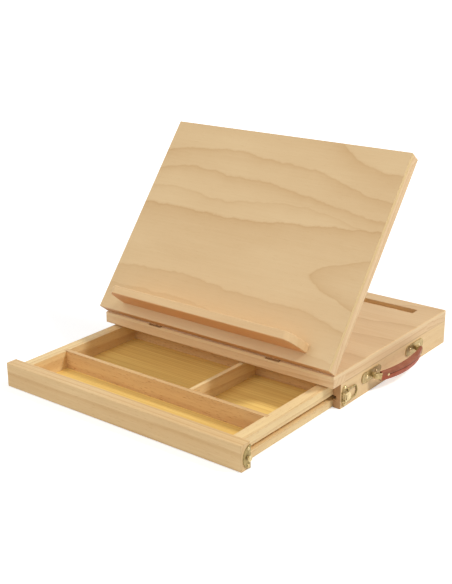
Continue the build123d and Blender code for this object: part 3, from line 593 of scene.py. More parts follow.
@dataclass(frozen=True)
class BoardVeneer(Wood):
    """The board's plywood face: a few long figure lines and one pointed arch opening at the right edge."""

    name: str
    pale: Colour
    dark: Colour
    edge: Colour
    # Painted shade for the faces that look towards the board's foot.
    underside_shade: Colour
    width: float = 340.0
    top: float = 318.6
    lines: tuple[FigureLine, ...] = (
        FigureLine((300, 300, 300, 300, 282, 246, 238), 20, 0.34, 0.07),
        FigureLine((226, 235, 238, 232, 228, 212, 203), 13, 0.33, 0.09),
        FigureLine((199, 208, 204, 202, 194, 185, 178), 10, 0.31, 0.09),
        FigureLine((176, 176, 170, 177, 180, 172, 160), 7, 0.19, 0.08),
        FigureLine((151, 151, 150, 152, 157, 162, 167), 28, 0.36, 0.20),
        FigureLine((61, 66, 67, 62, 61, 59, 46), 16, 0.27, 0.08),
        FigureLine((36, 37, 38, 30, 22, 16, 10), 18, 0.20, 0.06),
    )
    arch: FigureLine = FigureLine((), 20, 0.32, 0.10)
    arch_tip: tuple[float, float] = (104.0, 102.0)
    arch_width: float = 0.085
    arch_bend: float = 1.6
    jitter: Point = (42.0, 26.0, 1.0)
    ripple: float = 11.0 * MM
    streak: float = 0.20
    cloud: float = 0.36
    pores: float = 0.10
    tone: float = 0.16
    coat: float = 0.08

    def paint(self, graph: Graph) -> None:
        """Paints the wood.

        Args:
            graph: The material's graph.
        """
        groups = wood_groups()
        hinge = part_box("board_panel")[0]
        turn = Grain.ON_BOARD.turn
        flat = graph.add("Mapping", {0: graph.place(), "Rotation": turn})
        foot = Matrix.Rotation(turn[0], 3, "X") @ Vector((0.0, hinge[1], hinge[2]))
        right, rise, _ = graph.axes(flat)
        fibre = graph.group(groups.fibre, {"Vector": flat})
        jitter = graph.noise(graph.scaled(flat, self.jitter), detail=4.0, roughness=0.55)
        up = rise - foot.y + (jitter - 0.5) * self.ripple
        across = right / (self.width * MM) + 0.5
        shade = 0.0
        for line in self.lines:
            shade = line.mask(graph, groups, up, self._level(graph, line, across)).then("MAXIMUM", shade)
        bend = abs(up - self.arch_tip[1] * MM) ** self.arch_bend / self.arch_width
        inside = right - self.arch_tip[0] * MM - bend * self.arch_bend
        shade = self.arch.mask(graph, groups, inside * -0.5, 0.0).then("MAXIMUM", shade)
        tone = shade + fibre["Streak"] * self.streak + fibre["Cloud"] * self.cloud
        tone = tone + fibre["Pores"] * self.pores + self.tone
        colour = graph.shade(tone, self.pale, self.dark)
        colour = graph.mix(edge_faces(graph, on_board(0.0, 0.0, 1.0)), colour, self.edge)
        # Painted shade on the faces towards the board's foot, such as the board's bottom edge.
        colour = graph.mix(foot_faces(graph), colour, self.underside_shade)
        rough = graph.remap(fibre["Streak"], *groups.STREAK_RANGE, *groups.VENEER_ROUGHNESS)
        self.varnish(graph, colour, rough, fibre["Height"])

    def _level(self, graph: Graph, line: FigureLine, across: Value) -> Value:
        """A figure line's height in metres, by the place across the board.

        Args:
            graph: The material's graph.
            line: The figure line.
            across: The place, 0 at the left edge and 1 at the right.

        Returns:
            The height.
        """
        curve = graph.node("FloatCurve", {1: across})
        points = curve.mapping.curves[0].points
        last = len(line.heights) - 1
        places = [(index / last, height / self.top) for index, height in enumerate(line.heights)]
        points[0].location, points[1].location = places[0], places[-1]
        for x, y in places[1:-1]:
            points.new(x, y)
        curve.mapping.update()
        return Value(graph, curve.outputs[0]) * (self.top * MM)


# ---------------------------------------------------------------- metal, leather and rubber
@dataclass(frozen=True)
class MetalFinish(Finish):
    """A plated or drawn metal with faint handling marks."""

    name: str
    bright: Colour
    dull: Colour
    roughness: float = 0.25
    blotches: float = 260.0
    rub_marks: float = 2200.0
    rub_smoother: float = 0.06
    rub_rougher: float = 0.12
    rub_relief: float = 0.08
    rub_depth: float = 0.1 * MM
    edge_radius: float = 0.25 * MM

    def paint(self, graph: Graph) -> None:
        """Paints the metal.

        Args:
            graph: The material's graph.
        """
        blotch = graph.noise(graph.place(), self.blotches, 3.0)
        rub = graph.noise(graph.place(), self.rub_marks)
        smoothest, roughest = self.roughness - self.rub_smoother, self.roughness + self.rub_rougher
        graph.surface({
            "Base Color": graph.mix(graph.remap(blotch, 0.35, 0.7), self.bright, self.dull),
            "Roughness": graph.remap(rub, 0.3, 0.7, smoothest, roughest), "Metallic": 1.0,
            "Normal": graph.relief(rub, self.rub_relief, self.rub_depth, self.edge_radius)})


@dataclass(frozen=True)
class LeatherFinish(Finish):
    """Red-brown bridle leather: pebbled, darker in its seam, and darker at its cut ends, partly by their own
    cut edge and partly by painted shade.
    """

    name: str = "strap_leather"
    upper: Colour = srgb(160, 94, 66)
    lower: Colour = srgb(182, 92, 62)
    # A dark tone for mottles and the seam, which on the cut ends is partly painted shade.
    dark_tone_and_end_shade: Colour = srgb(88, 38, 20)
    mottles: float = 120.0
    pebbles: float = 1500.0
    pebble_relief: float = 0.35
    pebble_depth: float = 0.2 * MM
    sheen: float = 0.25

    def paint(self, graph: Graph) -> None:
        """Paints the leather.

        Args:
            graph: The material's graph.
        """
        mottle = graph.noise(graph.place(), self.mottles, 3.0)
        pebble = graph.add(
            "TexVoronoi", {"Vector": graph.place(), "Scale": self.pebbles}, "Distance", feature="F1")
        seam = graph.add("Attribute", output="Fac", attribute_name="seam")
        upper = graph.add("Attribute", output="Fac", attribute_name="upper")
        colour = graph.mix(upper, self.lower, self.upper)
        # Darker by mottles and along the seam, and at the cut ends, whose darkness is partly the leather's
        # own cut edge and partly painted shade.
        for share in (
                graph.remap(mottle, 0.35, 0.7, 0.0, 0.25), graph.remap(seam, 0.25, 0.65, 0.0, 0.85),
                graph.remap(abs(graph.axes(graph.place("Normal"))[1]), 0.8, 0.95, 0.0, 0.7)):
            colour = graph.mix(share, colour, self.dark_tone_and_end_shade)
        graph.surface({
            "Base Color": colour, "Roughness": graph.remap(mottle, 0.3, 0.7, 0.44, 0.58),
            "Normal": graph.relief(pebble, self.pebble_relief, self.pebble_depth),
            "Specular IOR Level": self.sheen})


@dataclass(frozen=True)
class RubberFinish(Finish):
    """Dull black rubber."""

    name: str = "foot_rubber"
    colour: Colour = srgb(44, 42, 40)
    dust: Colour = srgb(88, 82, 76)
    specks: float = 900.0
    relief: float = 0.3
    relief_depth: float = 0.2 * MM
    roughness: float = 0.75

    def paint(self, graph: Graph) -> None:
        """Paints the rubber.

        Args:
            graph: The material's graph.
        """
        dust = graph.noise(graph.place(), self.specks, 3.0)
        graph.surface({
            "Base Color": graph.mix(graph.remap(dust, 0.5, 0.75, 0.0, 0.5), self.colour, self.dust),
            "Normal": graph.relief(dust, self.relief, self.relief_depth), "Roughness": self.roughness})


# ---------------------------------------------------------------- studio
def in_scene(name: str, data: bpy.types.ID) -> Object:
    """Puts a new object into the scene.

    Args:
        name: Its name.
        data: Its mesh, lamp or camera.

    Returns:
        The object.
    """
    item = bpy.data.objects.new(name, data)
    bpy.context.scene.collection.objects.link(item)
    return item


@dataclass(frozen=True)
class Lamp:
    """A soft square lamp: its place and side in metres, and its power in watts."""

    name: str
    place: Point
    side: float
    power: float


@dataclass
class Studio:
    """Floor, world, lamps and camera."""

    lens: float = 64.70
    sensor: float = 36.0
    clip: tuple[float, float] = (0.05, 200.0)
    camera_mm: Point = (718.3, -1150.45, 504.7)
    azimuth: float = 37.968
    elevation: float = 19.224
    roll: float = -0.278
    ambient: float = 0.40
    lamps: tuple[Lamp, ...] = (
        Lamp("key", (1.61, 0.53, 1.98), 0.45, 36.0), Lamp("front", (-0.5, -2.1, 1.75), 1.6, 23.5))
    aim: Point = (0.0, -0.2, 0.08)
    floor_half_width: float = 60.0
    floor_drop: float = 0.2 * MM
    floor_grey: float = 0.80
    floor_roughness: float = 0.9
    floor_sheen: float = 0.1
    glow_near: tuple[float, float] = (0.5, 0.50)
    glow_far: tuple[float, float] = (1.6, 1.0)

    def build(self) -> None:
        """Builds the whole studio."""
        bpy.context.scene.view_settings.view_transform = "Standard"
        self._camera()
        self._floor()
        self._world()
        for lamp in self.lamps:
            self._lamp(lamp)
        LOG.info("studio: camera, floor, world and %d lamps", len(self.lamps))

    def _camera(self) -> None:
        """Places the camera, which looks down at the box from its right front."""
        data = bpy.data.cameras.new("camera")
        data.sensor_fit = "VERTICAL"
        data.sensor_height = self.sensor
        data.lens = self.lens
        data.clip_start, data.clip_end = self.clip
        camera = in_scene("camera", data)
        azimuth, elevation, roll = map(math.radians, (self.azimuth, self.elevation, self.roll))
        level = math.cos(elevation)
        back = Vector((math.sin(azimuth) * level, -math.cos(azimuth) * level, math.sin(elevation)))
        right = (-back).cross(Vector((0, 0, 1))).normalized()
        up = right.cross(-back)
        rolled = right * math.cos(roll) + up * math.sin(roll)
        up = up * math.cos(roll) - right * math.sin(roll)
        turn = Matrix((rolled, up, back)).transposed().to_4x4()
        camera.matrix_world = Matrix.Translation(Vector(self.camera_mm) * MM) @ turn
        bpy.context.scene.camera = camera

    @staticmethod
    def _direct(graph: Graph) -> Value:
        """A mask that is 1 for what the camera sees by itself, in a mirror or through glass.

        Args:
            graph: The graph that uses it.

        Returns:
            The mask.
        """
        rays = graph.node("LightPath").outputs
        camera, mirror, glass = (
            Value(graph, rays[name]) for name in ("Is Camera Ray", "Is Glossy Ray", "Is Transmission Ray"))
        return camera.then("MAXIMUM", mirror).then("MAXIMUM", glass)

    def _floor(self) -> None:
        """Lays a wide pale floor, which is white beyond the box's shadow and clear from below."""
        mesh = bpy.data.meshes.new("floor")
        shape = bmesh.new()
        bmesh.ops.create_grid(shape, x_segments=1, y_segments=1, size=self.floor_half_width)
        shape.to_mesh(mesh)
        shape.free()
        floor = in_scene("floor", mesh)
        floor.location.z = -self.floor_drop
        material = bpy.data.materials.new("pale_floor")
        material.use_nodes = True
        graph = Graph(material.node_tree)
        graph.surface({
            "Base Color": (self.floor_grey, self.floor_grey, self.floor_grey, 1),
            "Roughness": self.floor_roughness, "Specular IOR Level": self.floor_sheen})
        away = graph.add("VectorMath", {0: graph.place()}, "Value", operation="LENGTH")
        (near, dim), (far, full) = self.glow_near, self.glow_far
        light = graph.add("Emission", {
            "Color": (1, 1, 1, 1), "Strength": self._direct(graph) * graph.remap(away, near, far, dim, full)})
        matt = Value(graph, graph.tree.nodes["Principled BSDF"].outputs[0])
        both = graph.add("AddShader", {0: matt, 1: light})
        from_below = graph.add("NewGeometry", output="Backfacing")
        top_only = graph.add("MixShader", {0: from_below, 1: both, 2: graph.add("BsdfTransparent")})
        graph.put(graph.tree.nodes["Material Output"].inputs, {"Surface": top_only})
        mesh.materials.append(material)

    def _world(self) -> None:
        """Sets an even surround, which the camera and reflections see as white."""
        world = bpy.data.worlds.new("surround")
        bpy.context.scene.world = world
        world.use_nodes = True
        graph = Graph(world.node_tree)
        strength = self._direct(graph) * (1.0 - self.ambient) + self.ambient
        graph.put(world.node_tree.nodes["Background"].inputs, {"Color": (1, 1, 1, 1), "Strength": strength})

    def _lamp(self, lamp: Lamp) -> None:
        """Hangs a lamp that points at the box.

        Args:
            lamp: The lamp.
        """
        data = bpy.data.lights.new(lamp.name, "AREA")
        data.size = lamp.side
        data.energy = lamp.power
        piece = in_scene(lamp.name, data)
        piece.location = lamp.place
        piece.rotation_euler = (Vector(self.aim) - Vector(lamp.place)).to_track_quat("-Z", "Y").to_euler()


# ---------------------------------------------------------------- the box
def middle_of(node: str) -> Vector:
    """The middle of a CAD node's box."""
    low, high = (Vector(corner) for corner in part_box(node))
    return (low + high) / 2


def dress_node(node: str, material: Material) -> None:
    """Puts a material on every slot of a CAD node.

    Args:
        node: The node's name.
        material: The material.
    """
    piece = frame["nodes"][node]
    if not piece.material_slots:
        piece.data.materials.append(material)
    for spot in piece.material_slots:
        spot.material = material


@dataclass
class Carcass:
    """The woods of the box, the drawer, the board and the prop, which keep their CAD shapes."""

    pale: Colour = srgb(238, 206, 160)
    dark: Colour = srgb(205, 160, 110)
    ends: Colour = srgb(176, 128, 86)
    wall_top: float = 30.0 * MM

    def dress(self) -> None:
        """Gives every wooden node its finish."""
        for finish, nodes in [*self._box(), *self._board(), *self._drawer()]:
            material = finish.material()
            for node in nodes:
                dress_node(node, material)
            LOG.info("%s: %s", material.name, ", ".join(nodes))

    def _box(self) -> list[Dressing]:
        """The walls and the deck.

        Returns:
            Their finishes with the nodes.
        """
        return [
            (WoodFinish(
                "deck_veneer", srgb(238, 204, 154), srgb(202, 156, 102), Cut.VENEER, offset=(0.3, 0.5, 0.0),
                values={"Spacing": 0.055, "Lean": 0.05, "Wander": 0.11, "Line Strength": 0.36},
                edge=srgb(236, 206, 160)),
             ["deck_panel"]),
            (WoodFinish("timber_across_box", self.pale, self.dark, offset=(0.1, 0.02, 0.0)),
             ["deck_front_rail", "deck_rear_rail", "back_wall"]),
            # Painted shade marks the joint with the deck's rail at the wall's top.
            (WoodFinish(
                "timber_side_wall", srgb(240, 209, 158), srgb(206, 160, 106), grain=Grain.ALONG_Y,
                offset=(0.3, 0.06, 0.30), end_grain=self.ends, joint_height=self.wall_top,
                values={"Ring Width": 0.015, "Ring Strength": 0.08, "Streak Strength": 0.40, "Wander": 0.012,
                        "Cloud Strength": 0.15}),
             ["side_wall_left", "side_wall_right"]),
            # Painted shade marks the joint with the wall at the wall's top.
            (WoodFinish(
                "timber_along_box", self.pale, self.dark, grain=Grain.ALONG_Y, offset=(0.3, 0.06, 0.02),
                end_grain=self.ends, joint_height=self.wall_top),
             ["deck_side_rail_left", "deck_side_rail_right", "runner_left", "runner_right"])]

    def _board(self) -> list[Dressing]:
        """The board, its ledge and its prop.

        Returns:
            Their finishes with the nodes.
        """
        return [
            # The board's faces towards its foot get painted shade.
            (BoardVeneer(
                "board_veneer", srgb(231, 201, 154), srgb(194, 150, 95), edge=srgb(222, 190, 133),
                underside_shade=srgb(214, 164, 112)),
             ["board_panel"]),
            # The ledge's underside gets painted shade, warm as from light bounced off the wood.
            (WoodFinish(
                "timber_ledge", srgb(233, 199, 150), srgb(210, 167, 116), offset=(0.1, 0.02, 0.0),
                values={"Ring Width": 0.016, "Ring Strength": 0.15, "Fleck Strength": 0.1},
                underside_shade=srgb(220, 164, 110)),
             ["canvas_ledge"]),
            (WoodFinish(
                "timber_up_board", self.pale, self.dark, grain=Grain.UP_BOARD, offset=(0.2, 0.03, 0.01)),
             ["board_side_rail_left", "board_side_rail_right", "prop_block_left", "prop_block_right"]),
            # The rails' faces towards the board's foot get painted shade.
            (WoodFinish(
                "timber_across_board", self.pale, self.dark, grain=Grain.ON_BOARD, offset=(0.2, 0.03, 0.01),
                underside_shade=srgb(200, 150, 100)),
             ["board_bottom_rail", "board_top_rail"]),
            (WoodFinish("timber_prop", self.pale, self.dark, grain=Grain.ALONG_Y, offset=(0.2, 0.03, 0.01)),
             ["prop_stile_left", "prop_stile_right", "prop_head_bar", "prop_foot_dowel"])]

    @staticmethod
    def _drawer() -> list[Dressing]:
        """The drawer.

        Returns:
            Its finishes with the nodes.
        """
        return [
            (WoodFinish(
                "timber_drawer_front", srgb(234, 202, 150), srgb(196, 150, 93), offset=(0.23, 0.0, 0.05),
                values={"Ring Width": 0.0065, "Ring Strength": 0.34, "Wander": 0.010}),
             ["drawer_front"]),
            (WoodFinish(
                "timber_drawer_across", srgb(232, 196, 140), srgb(172, 114, 68), offset=(0.4, 0.01, 0.03),
                values={"Ring Width": 0.012, "Ring Strength": 0.2, "Fleck Strength": 0.5,
                        "Fleck Length": 140.0}),
             ["drawer_rear_wall", "drawer_long_divider"]),
            (WoodFinish(
                "timber_drawer_along", srgb(250, 224, 170), srgb(210, 166, 108), grain=Grain.ALONG_Y,
                offset=(0.5, 0.2, 0.02), values={"Ring Width": 0.009, "Fleck Strength": 0.4}),
             ["drawer_side_left", "drawer_side_right", "drawer_cross_divider"]),
            (WoodFinish("drawer_bottom_ply", srgb(247, 213, 126), srgb(190, 130, 46), Cut.LEAF, coat=0.0),
             ["drawer_bottom"])]


# ---------------------------------------------------------------- shapes
def finished(name: str, shape: BMesh, material: Material, body: str, smooth_below: float) -> Object:
    """Makes a finished piece of a bmesh: doubles merged, faces outward, dressed and riding on its body.

    Args:
        name: The piece's name.
        shape: Its shape, in metres, which is freed.
        material: Its material.
        body: The CAD body that it rides on.
        smooth_below: Edges sharper than this many degrees stay crisp.

    Returns:
        The piece.
    """
    bmesh.ops.remove_doubles(shape, verts=shape.verts, dist=1e-7)
    bmesh.ops.recalc_face_normals(shape, faces=shape.faces)
    for face in shape.faces:
        face.smooth = True
    for edge in shape.edges:
        edge.smooth = len(edge.link_faces) == 2 and edge.calc_face_angle(0.0) < math.radians(smooth_below)
    mesh = bpy.data.meshes.new(name)
    shape.to_mesh(mesh)
    shape.free()
    mesh.materials.append(material)
    piece = in_scene(name, mesh)
    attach(piece, body)
    LOG.info("%s rides on %s", name, body)
    return piece


def joined(shapes: Iterable[BMesh]) -> BMesh:
    """Joins shapes into one.

    Args:
        shapes: The shapes, which are freed.

    Returns:
        The whole.
    """
    whole = bmesh.new()
    for shape in shapes:
        mesh = bpy.data.meshes.new("joined")
        shape.to_mesh(mesh)
        shape.free()
        whole.from_mesh(mesh)
        bpy.data.meshes.remove(mesh)
    return whole


def spun(shape: BMesh, points: list[BMVert], middle: Point, axis: Point, steps: int) -> None:
    """Turns a profile once round an axis.

    Args:
        shape: The shape that holds the profile.
        points: The profile's points in order.
        middle: A point on the axis.
        axis: The axis.
        steps: How many sides the round has.
    """
    edges = [shape.edges.new(pair) for pair in zip(points, points[1:])]
    bmesh.ops.spin(
        shape, geom=points + edges, cent=middle, axis=axis, angle=2 * math.pi, steps=steps, use_merge=True)


def sharp_edges(shape: BMesh, angle: float = 50.0) -> list[BMEdge]:
    """The edges at which a shape turns by more than an angle in degrees."""
    return [edge for edge in shape.edges if edge.calc_face_angle(0.0) > math.radians(angle)]


def eased(shape: BMesh, edges: list[BMEdge], offset: float, segments: int) -> None:
    """Rounds edges of a shape.

    Args:
        shape: The shape.
        edges: The edges to round.
        offset: How far from the edge the rounding starts, in metres.
        segments: How many faces it has.
    """
    bmesh.ops.bevel(
        shape, geom=edges, offset=offset, segments=segments, profile=0.5, affect="EDGES", material=-1,
        clamp_overlap=True)


@dataclass
class SlottedScrews:
    """Round-headed slotted wood screws, standing on a plate that faces away from the right wall."""

    radius: float = 2.0 * MM
    height: float = 1.0 * MM
    rim_share: float = 0.18
    dome_angles: tuple[int, ...] = (0, 18, 36, 54, 72, 90)
    shank: float = 1.0 * MM
    depth: float = 2.0 * MM
    slot_width: float = 0.5 * MM
    slot_depth: float = 0.45 * MM
    steps: int = 24

    def head(self, place: Vector, turn: float) -> BMesh:
        """Builds one screw head, its axis along +X.

        Args:
            place: The middle of the head's underside.
            turn: How far its slot is turned, in degrees.

        Returns:
            The screw.
        """
        shape = bmesh.new()
        profile = [(0.0, -self.depth), (self.shank, -self.depth), (self.shank, 0.0), (self.radius, 0.0)]
        for angle in map(math.radians, self.dome_angles):
            rise = self.rim_share + (1 - self.rim_share) * math.sin(angle)
            profile.append((self.radius * math.cos(angle), self.height * rise))
        points = [shape.verts.new((out, 0.0, up)) for out, up in profile]
        spun(shape, points, (0, 0, 0), (0, 0, 1), self.steps)
        bmesh.ops.remove_doubles(shape, verts=shape.verts, dist=1e-6)
        for side in (-1, 1):
            bmesh.ops.bisect_plane(
                shape, geom=shape.verts[:] + shape.edges[:] + shape.faces[:],
                plane_co=(side * self.slot_width / 2, 0, 0), plane_no=(1, 0, 0))
        floor = self.height - self.slot_depth
        slot = [
            face for face in shape.faces
            if abs(face.calc_center_median().x) < self.slot_width / 2 and face.calc_center_median().z > floor
            and face.normal.z != 0]
        sunk = bmesh.ops.extrude_face_region(shape, geom=slot)
        for vertex in (item for item in sunk["geom"] if isinstance(item, BMVert)):
            vertex.co.z = floor
        aim = Matrix.Translation(place) @ Matrix.Rotation(math.radians(90), 4, "Y") @ Matrix.Rotation(
            math.radians(turn), 4, "Z")
        bmesh.ops.transform(shape, matrix=aim, verts=shape.verts)
        return shape

    def build(
            self, node: str, places: list[Vector], turns: tuple[float, ...], body: str,
            material: Material) -> None:
        """Replaces a node of CAD screws.

        Args:
            node: The node that they stand for.
            places: Where each head stands.
            turns: How far each slot is turned.
            body: The body that they ride on.
            material: Their finish.
        """
        whole = joined(self.head(place, turn) for place, turn in zip(places, turns))
        piece = finished("slotted_" + node, whole, material, body, 30.0)
        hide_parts(node)


@dataclass
class Handle:
    """What the strap and its clips share: they sit on the axis of the clips' pins, a little out of level."""

    material: Material
    tilt: float = 8.0

    def seat(self) -> Matrix:
        """Finds where the handle sits.

        Returns:
            The move from the strap's own axes (X out, Y along, Z up) to its place.
        """
        strap, pins = middle_of("handle_strap"), middle_of("handle_pins")
        axis = Vector((pins.x, strap.y, pins.z))
        return Matrix.Translation(axis) @ Matrix.Rotation(math.radians(self.tilt), 4, "Y")


@dataclass
class LeatherStrap(Handle):
    """The bowed leather strap: flat at its riveted ends, padded and crowned in the middle, and seamed."""

    half_span: float = 48.5 * MM
    end_out: float = 6.9 * MM
    bow: float = 7.6 * MM
    end_thickness: float = 3.2 * MM
    middle_thickness: float = 8.0 * MM
    half_height: float = 5.8 * MM
    crown: float = 1.5 * MM
    inner_crown_share: float = 0.4
    seam_depth: float = 0.7 * MM
    seam_half_width: float = 0.85 * MM
    seam_rise: float = 2.3 * MM
    seam_reach: float = 0.80
    seam_fade: float = 0.06
    edge_round: float = 0.7 * MM
    stations: int = 48

    SEAM_POINT: ClassVar[int] = 4
    UPPER_SHARE: ClassVar[tuple[float, ...]] = (0, 0, 0, 0, 0.5, 1, 1, 1, 1, 0.5)

    def seam_share(self, along: float) -> float:
        """How much of the seam there is at a place along the strap: all of it between the rivets."""
        return min(1.0, max(0.0, (self.seam_reach - abs(along) / self.half_span) / self.seam_fade))

    def arc(self, end: float, middle: float, along: float) -> float:
        """How far out a face that bows from `end` to `middle` lies at a place along the strap.

        Args:
            end: How far out it lies at the strap's ends.
            middle: How far out it lies in the middle.
            along: The place, from the middle.

        Returns:
            The distance out.
        """
        rise = middle - end
        radius = (self.half_span**2 + rise**2) / (2 * rise)
        return middle - radius + math.sqrt(radius**2 - along**2)

    def section(self, along: float) -> list[tuple[float, float]]:
        """The strap's outline at a place along it, as (out, up) pairs.

        Args:
            along: The place, from the middle, in metres.

        Returns:
            The outline, from its inner lower edge round by the outside.
        """
        peak = self.end_out + self.bow
        inner = self.arc(self.end_out - self.end_thickness / 2, peak - self.middle_thickness / 2, along)
        outer = self.arc(self.end_out + self.end_thickness / 2, peak + self.middle_thickness / 2, along)
        fullness = math.cos(math.pi / 2 * along / self.half_span)
        crown = self.crown * fullness
        hollow = inner + crown * self.inner_crown_share
        seam = self.seam_rise * fullness
        depth = self.seam_depth * self.seam_share(along)
        half, width = self.half_height, self.seam_half_width
        return [
            (hollow, -half), (outer - crown, -half), (outer, seam - width * 2), (outer, seam - width),
            (outer - depth, seam), (outer, seam + width), (outer, seam + width * 2), (outer - crown, half),
            (hollow, half), (inner, 0.0)]

    def build(self) -> None:
        """Lays sections along the bow, closes them into a strap and rounds its long edges."""
        shape = bmesh.new()
        seam, upper = (shape.verts.layers.float.new(name) for name in ("seam", "upper"))
        first = [shape.verts.new((out, -self.half_span, up)) for out, up in self.section(-self.half_span)]
        for vertex, share in zip(first, self.UPPER_SHARE):
            vertex[upper] = share
        face = shape.faces.new(first)
        for index in range(1, self.stations + 1):
            along = -self.half_span + 2 * self.half_span * index / self.stations
            grown = bmesh.ops.extrude_face_region(shape, geom=[face])
            face = next(item for item in grown["geom"] if isinstance(item, BMFace))
            for vertex, (out, up) in zip(face.verts, self.section(along)):
                vertex.co = (out, along, up)
            face.verts[self.SEAM_POINT][seam] = self.seam_share(along)
        bmesh.ops.recalc_face_normals(shape, faces=shape.faces)
        corners = [edge for edge in sharp_edges(shape) if not any(end[seam] for end in edge.verts)]
        eased(shape, corners, self.edge_round, 3)
        bmesh.ops.transform(shape, matrix=self.seat(), verts=shape.verts)
        strap = finished("leather_strap", shape, self.material, "handle", 60.0)
        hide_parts("handle_strap")


@dataclass
class FoldedClips(Handle):
    """The sheet clips that hold the strap's ends: two cheeks by the lug and a cover over the cut end.

    Cover points are (out, along, half height) and cheeks (along, out, half height at the cover), in mm.
    """

    half_span: float = 51.0 * MM
    sheet: float = 1.0 * MM
    round_radius: float = 2.2 * MM
    cover: tuple[Point, ...] = ((2.6, -2.8, 3.1), (3.7, -2.8, 3.1), (9.3, 2.9, 4.4), (8.2, 3.2, 4.4))
    cheeks: tuple[Point, ...] = ((-2.8, 2.6, 3.1), (1.8, 7.6, 4.2))
    border: float = 0.25 * MM
    flat: float = 1.0
    steps: int = 24

    @staticmethod
    def close(shape: BMesh, corners: list[BMVert]) -> None:
        """Wraps faces round corner points.

        Args:
            shape: The shape that holds them.
            corners: The points, of which those that lie inside are dropped.
        """
        made = bmesh.ops.convex_hull(shape, input=corners)
        spare = {item for item in made["geom_interior"] + made["geom_unused"] if isinstance(item, BMVert)}
        bmesh.ops.delete(shape, geom=list(spare), context="VERTS")

    def cheek(self, shape: BMesh, along: float, out: float, height: float) -> None:
        """Adds a cheek, round about the pin and as high as the cover where it joins it.

        Args:
            shape: The shape that it joins.
            along: Where its nearer face lies along the strap.
            out: How far out it reaches.
            height: Half its height there.
        """
        corners = []
        for side in (along, along + self.sheet):
            aim = Matrix.Translation((0, side, 0)) @ Matrix.Rotation(math.radians(90), 4, "X")
            corners += bmesh.ops.create_circle(
                shape, segments=self.steps, radius=self.round_radius, matrix=aim)["verts"]
            corners += [shape.verts.new((out, side, up * height)) for up in (-1, 1)]
        self.close(shape, corners)

    def clip(self, end: int) -> BMesh:
        """Folds one clip.

        Args:
            end: -1 for the front one and 1 for the rear one.

        Returns:
            The clip, about the middle of the strap.
        """
        shape = bmesh.new()
        for along, out, height in self.cheeks:
            self.cheek(shape, along * MM, out * MM, height * MM)
        self.close(shape, [
            shape.verts.new((out * MM, along * MM, up * height * MM))
            for out, along, height in self.cover for up in (-1, 1)])
        bmesh.ops.dissolve_limit(
            shape, angle_limit=math.radians(self.flat), verts=shape.verts, edges=shape.edges)
        eased(shape, sharp_edges(shape), self.border, 2)
        bmesh.ops.translate(shape, verts=shape.verts, vec=(0, -self.half_span, 0))
        if end > 0:
            half_turn = Matrix.Rotation(math.pi, 3, "X")
            bmesh.ops.rotate(shape, verts=shape.verts, cent=(0, 0, 0), matrix=half_turn)
        return shape

    def build(self) -> None:
        """Folds both clips."""
        whole = joined(self.clip(end) for end in (-1, 1))
        bmesh.ops.transform(whole, matrix=self.seat(), verts=whole.verts)
        clips = finished("folded_clips", whole, self.material, "handle", 35.0)
        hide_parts("handle_clip_front", "handle_clip_rear")


@dataclass
class WireBail:
    """The bail: a round wire whose arms draw together from the ears towards a rounded tip."""

    material: Material
    wire: float = 1.8 * MM
    cad_wire: float = 1.6 * MM
    hand: float = 4.2 * MM
    arm: float = 7.0 * MM
    tip: float = 6.0 * MM
    corner: float = 5.3 * MM
    elbow: float = 1.0 * MM
    bend_steps: int = 6
    sides: int = 16

    def line(self) -> list[Vector]:
        """The wire's centre line.

        Returns:
            Its points, from its lower end round the tip to its upper end.
        """
        low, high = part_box("latch_bail")
        middle = (low[2] + high[2]) / 2
        foot = Vector((high[0] - self.cad_wire / 2, low[1] + self.cad_wire / 2, middle))
        end = Vector((low[0] + self.cad_wire / 2, high[1] - self.cad_wire / 2, middle))
        below = ((foot, self.hand), (foot, self.arm), (end, self.tip))
        lower = [point - Vector((0, 0, drop)) for point, drop in below]
        corners = lower + [Vector((point.x, point.y, 2 * middle - point.z)) for point in reversed(lower)]
        radii = [self.elbow, self.corner, self.corner, self.elbow]
        points = [corners[0]]
        for before, corner, after, radius in zip(corners, corners[1:], corners[2:], radii):
            points += self.bend(before, corner, after, radius)
        return points + [corners[-1]]

    def bend(self, before: Vector, corner: Vector, after: Vector, radius: float) -> list[Vector]:
        """The points of a round bend at a corner.

        Args:
            before: The corner before it.
            corner: The corner.
            after: The corner after it.
            radius: The bend's radius.

        Returns:
            Points along the bend.
        """
        back, ahead = (before - corner).normalized(), (after - corner).normalized()
        half = back.angle(ahead) / 2
        centre = corner + (back + ahead).normalized() * radius / math.sin(half)
        start = corner + back * radius / math.tan(half)
        axis = back.cross(ahead).normalized()
        turn = math.pi - 2 * half
        return [
            centre + Matrix.Rotation(-turn * step / self.bend_steps, 3, axis) @ (start - centre)
            for step in range(self.bend_steps + 1)]

    def build(self) -> None:
        """Draws a round wire along the centre line."""
        shape = bmesh.new()
        points = self.line()
        rings = []
        for index, point in enumerate(points):
            run = points[min(index + 1, len(points) - 1)] - points[max(index - 1, 0)]
            aim = Matrix.Translation(point) @ run.to_track_quat("Z", "Y").to_matrix().to_4x4()
            made = bmesh.ops.create_circle(shape, segments=self.sides, radius=self.wire / 2, matrix=aim)
            rings.append({edge for vertex in made["verts"] for edge in vertex.link_edges})
        for ring, following in zip(rings, rings[1:]):
            bmesh.ops.bridge_loops(shape, edges=list(ring | following))
        bmesh.ops.holes_fill(shape, edges=[edge for edge in shape.edges if edge.is_boundary])
        wire = finished("wire_bail", shape, self.material, "latch_bail", 60.0)
        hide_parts("latch_bail")


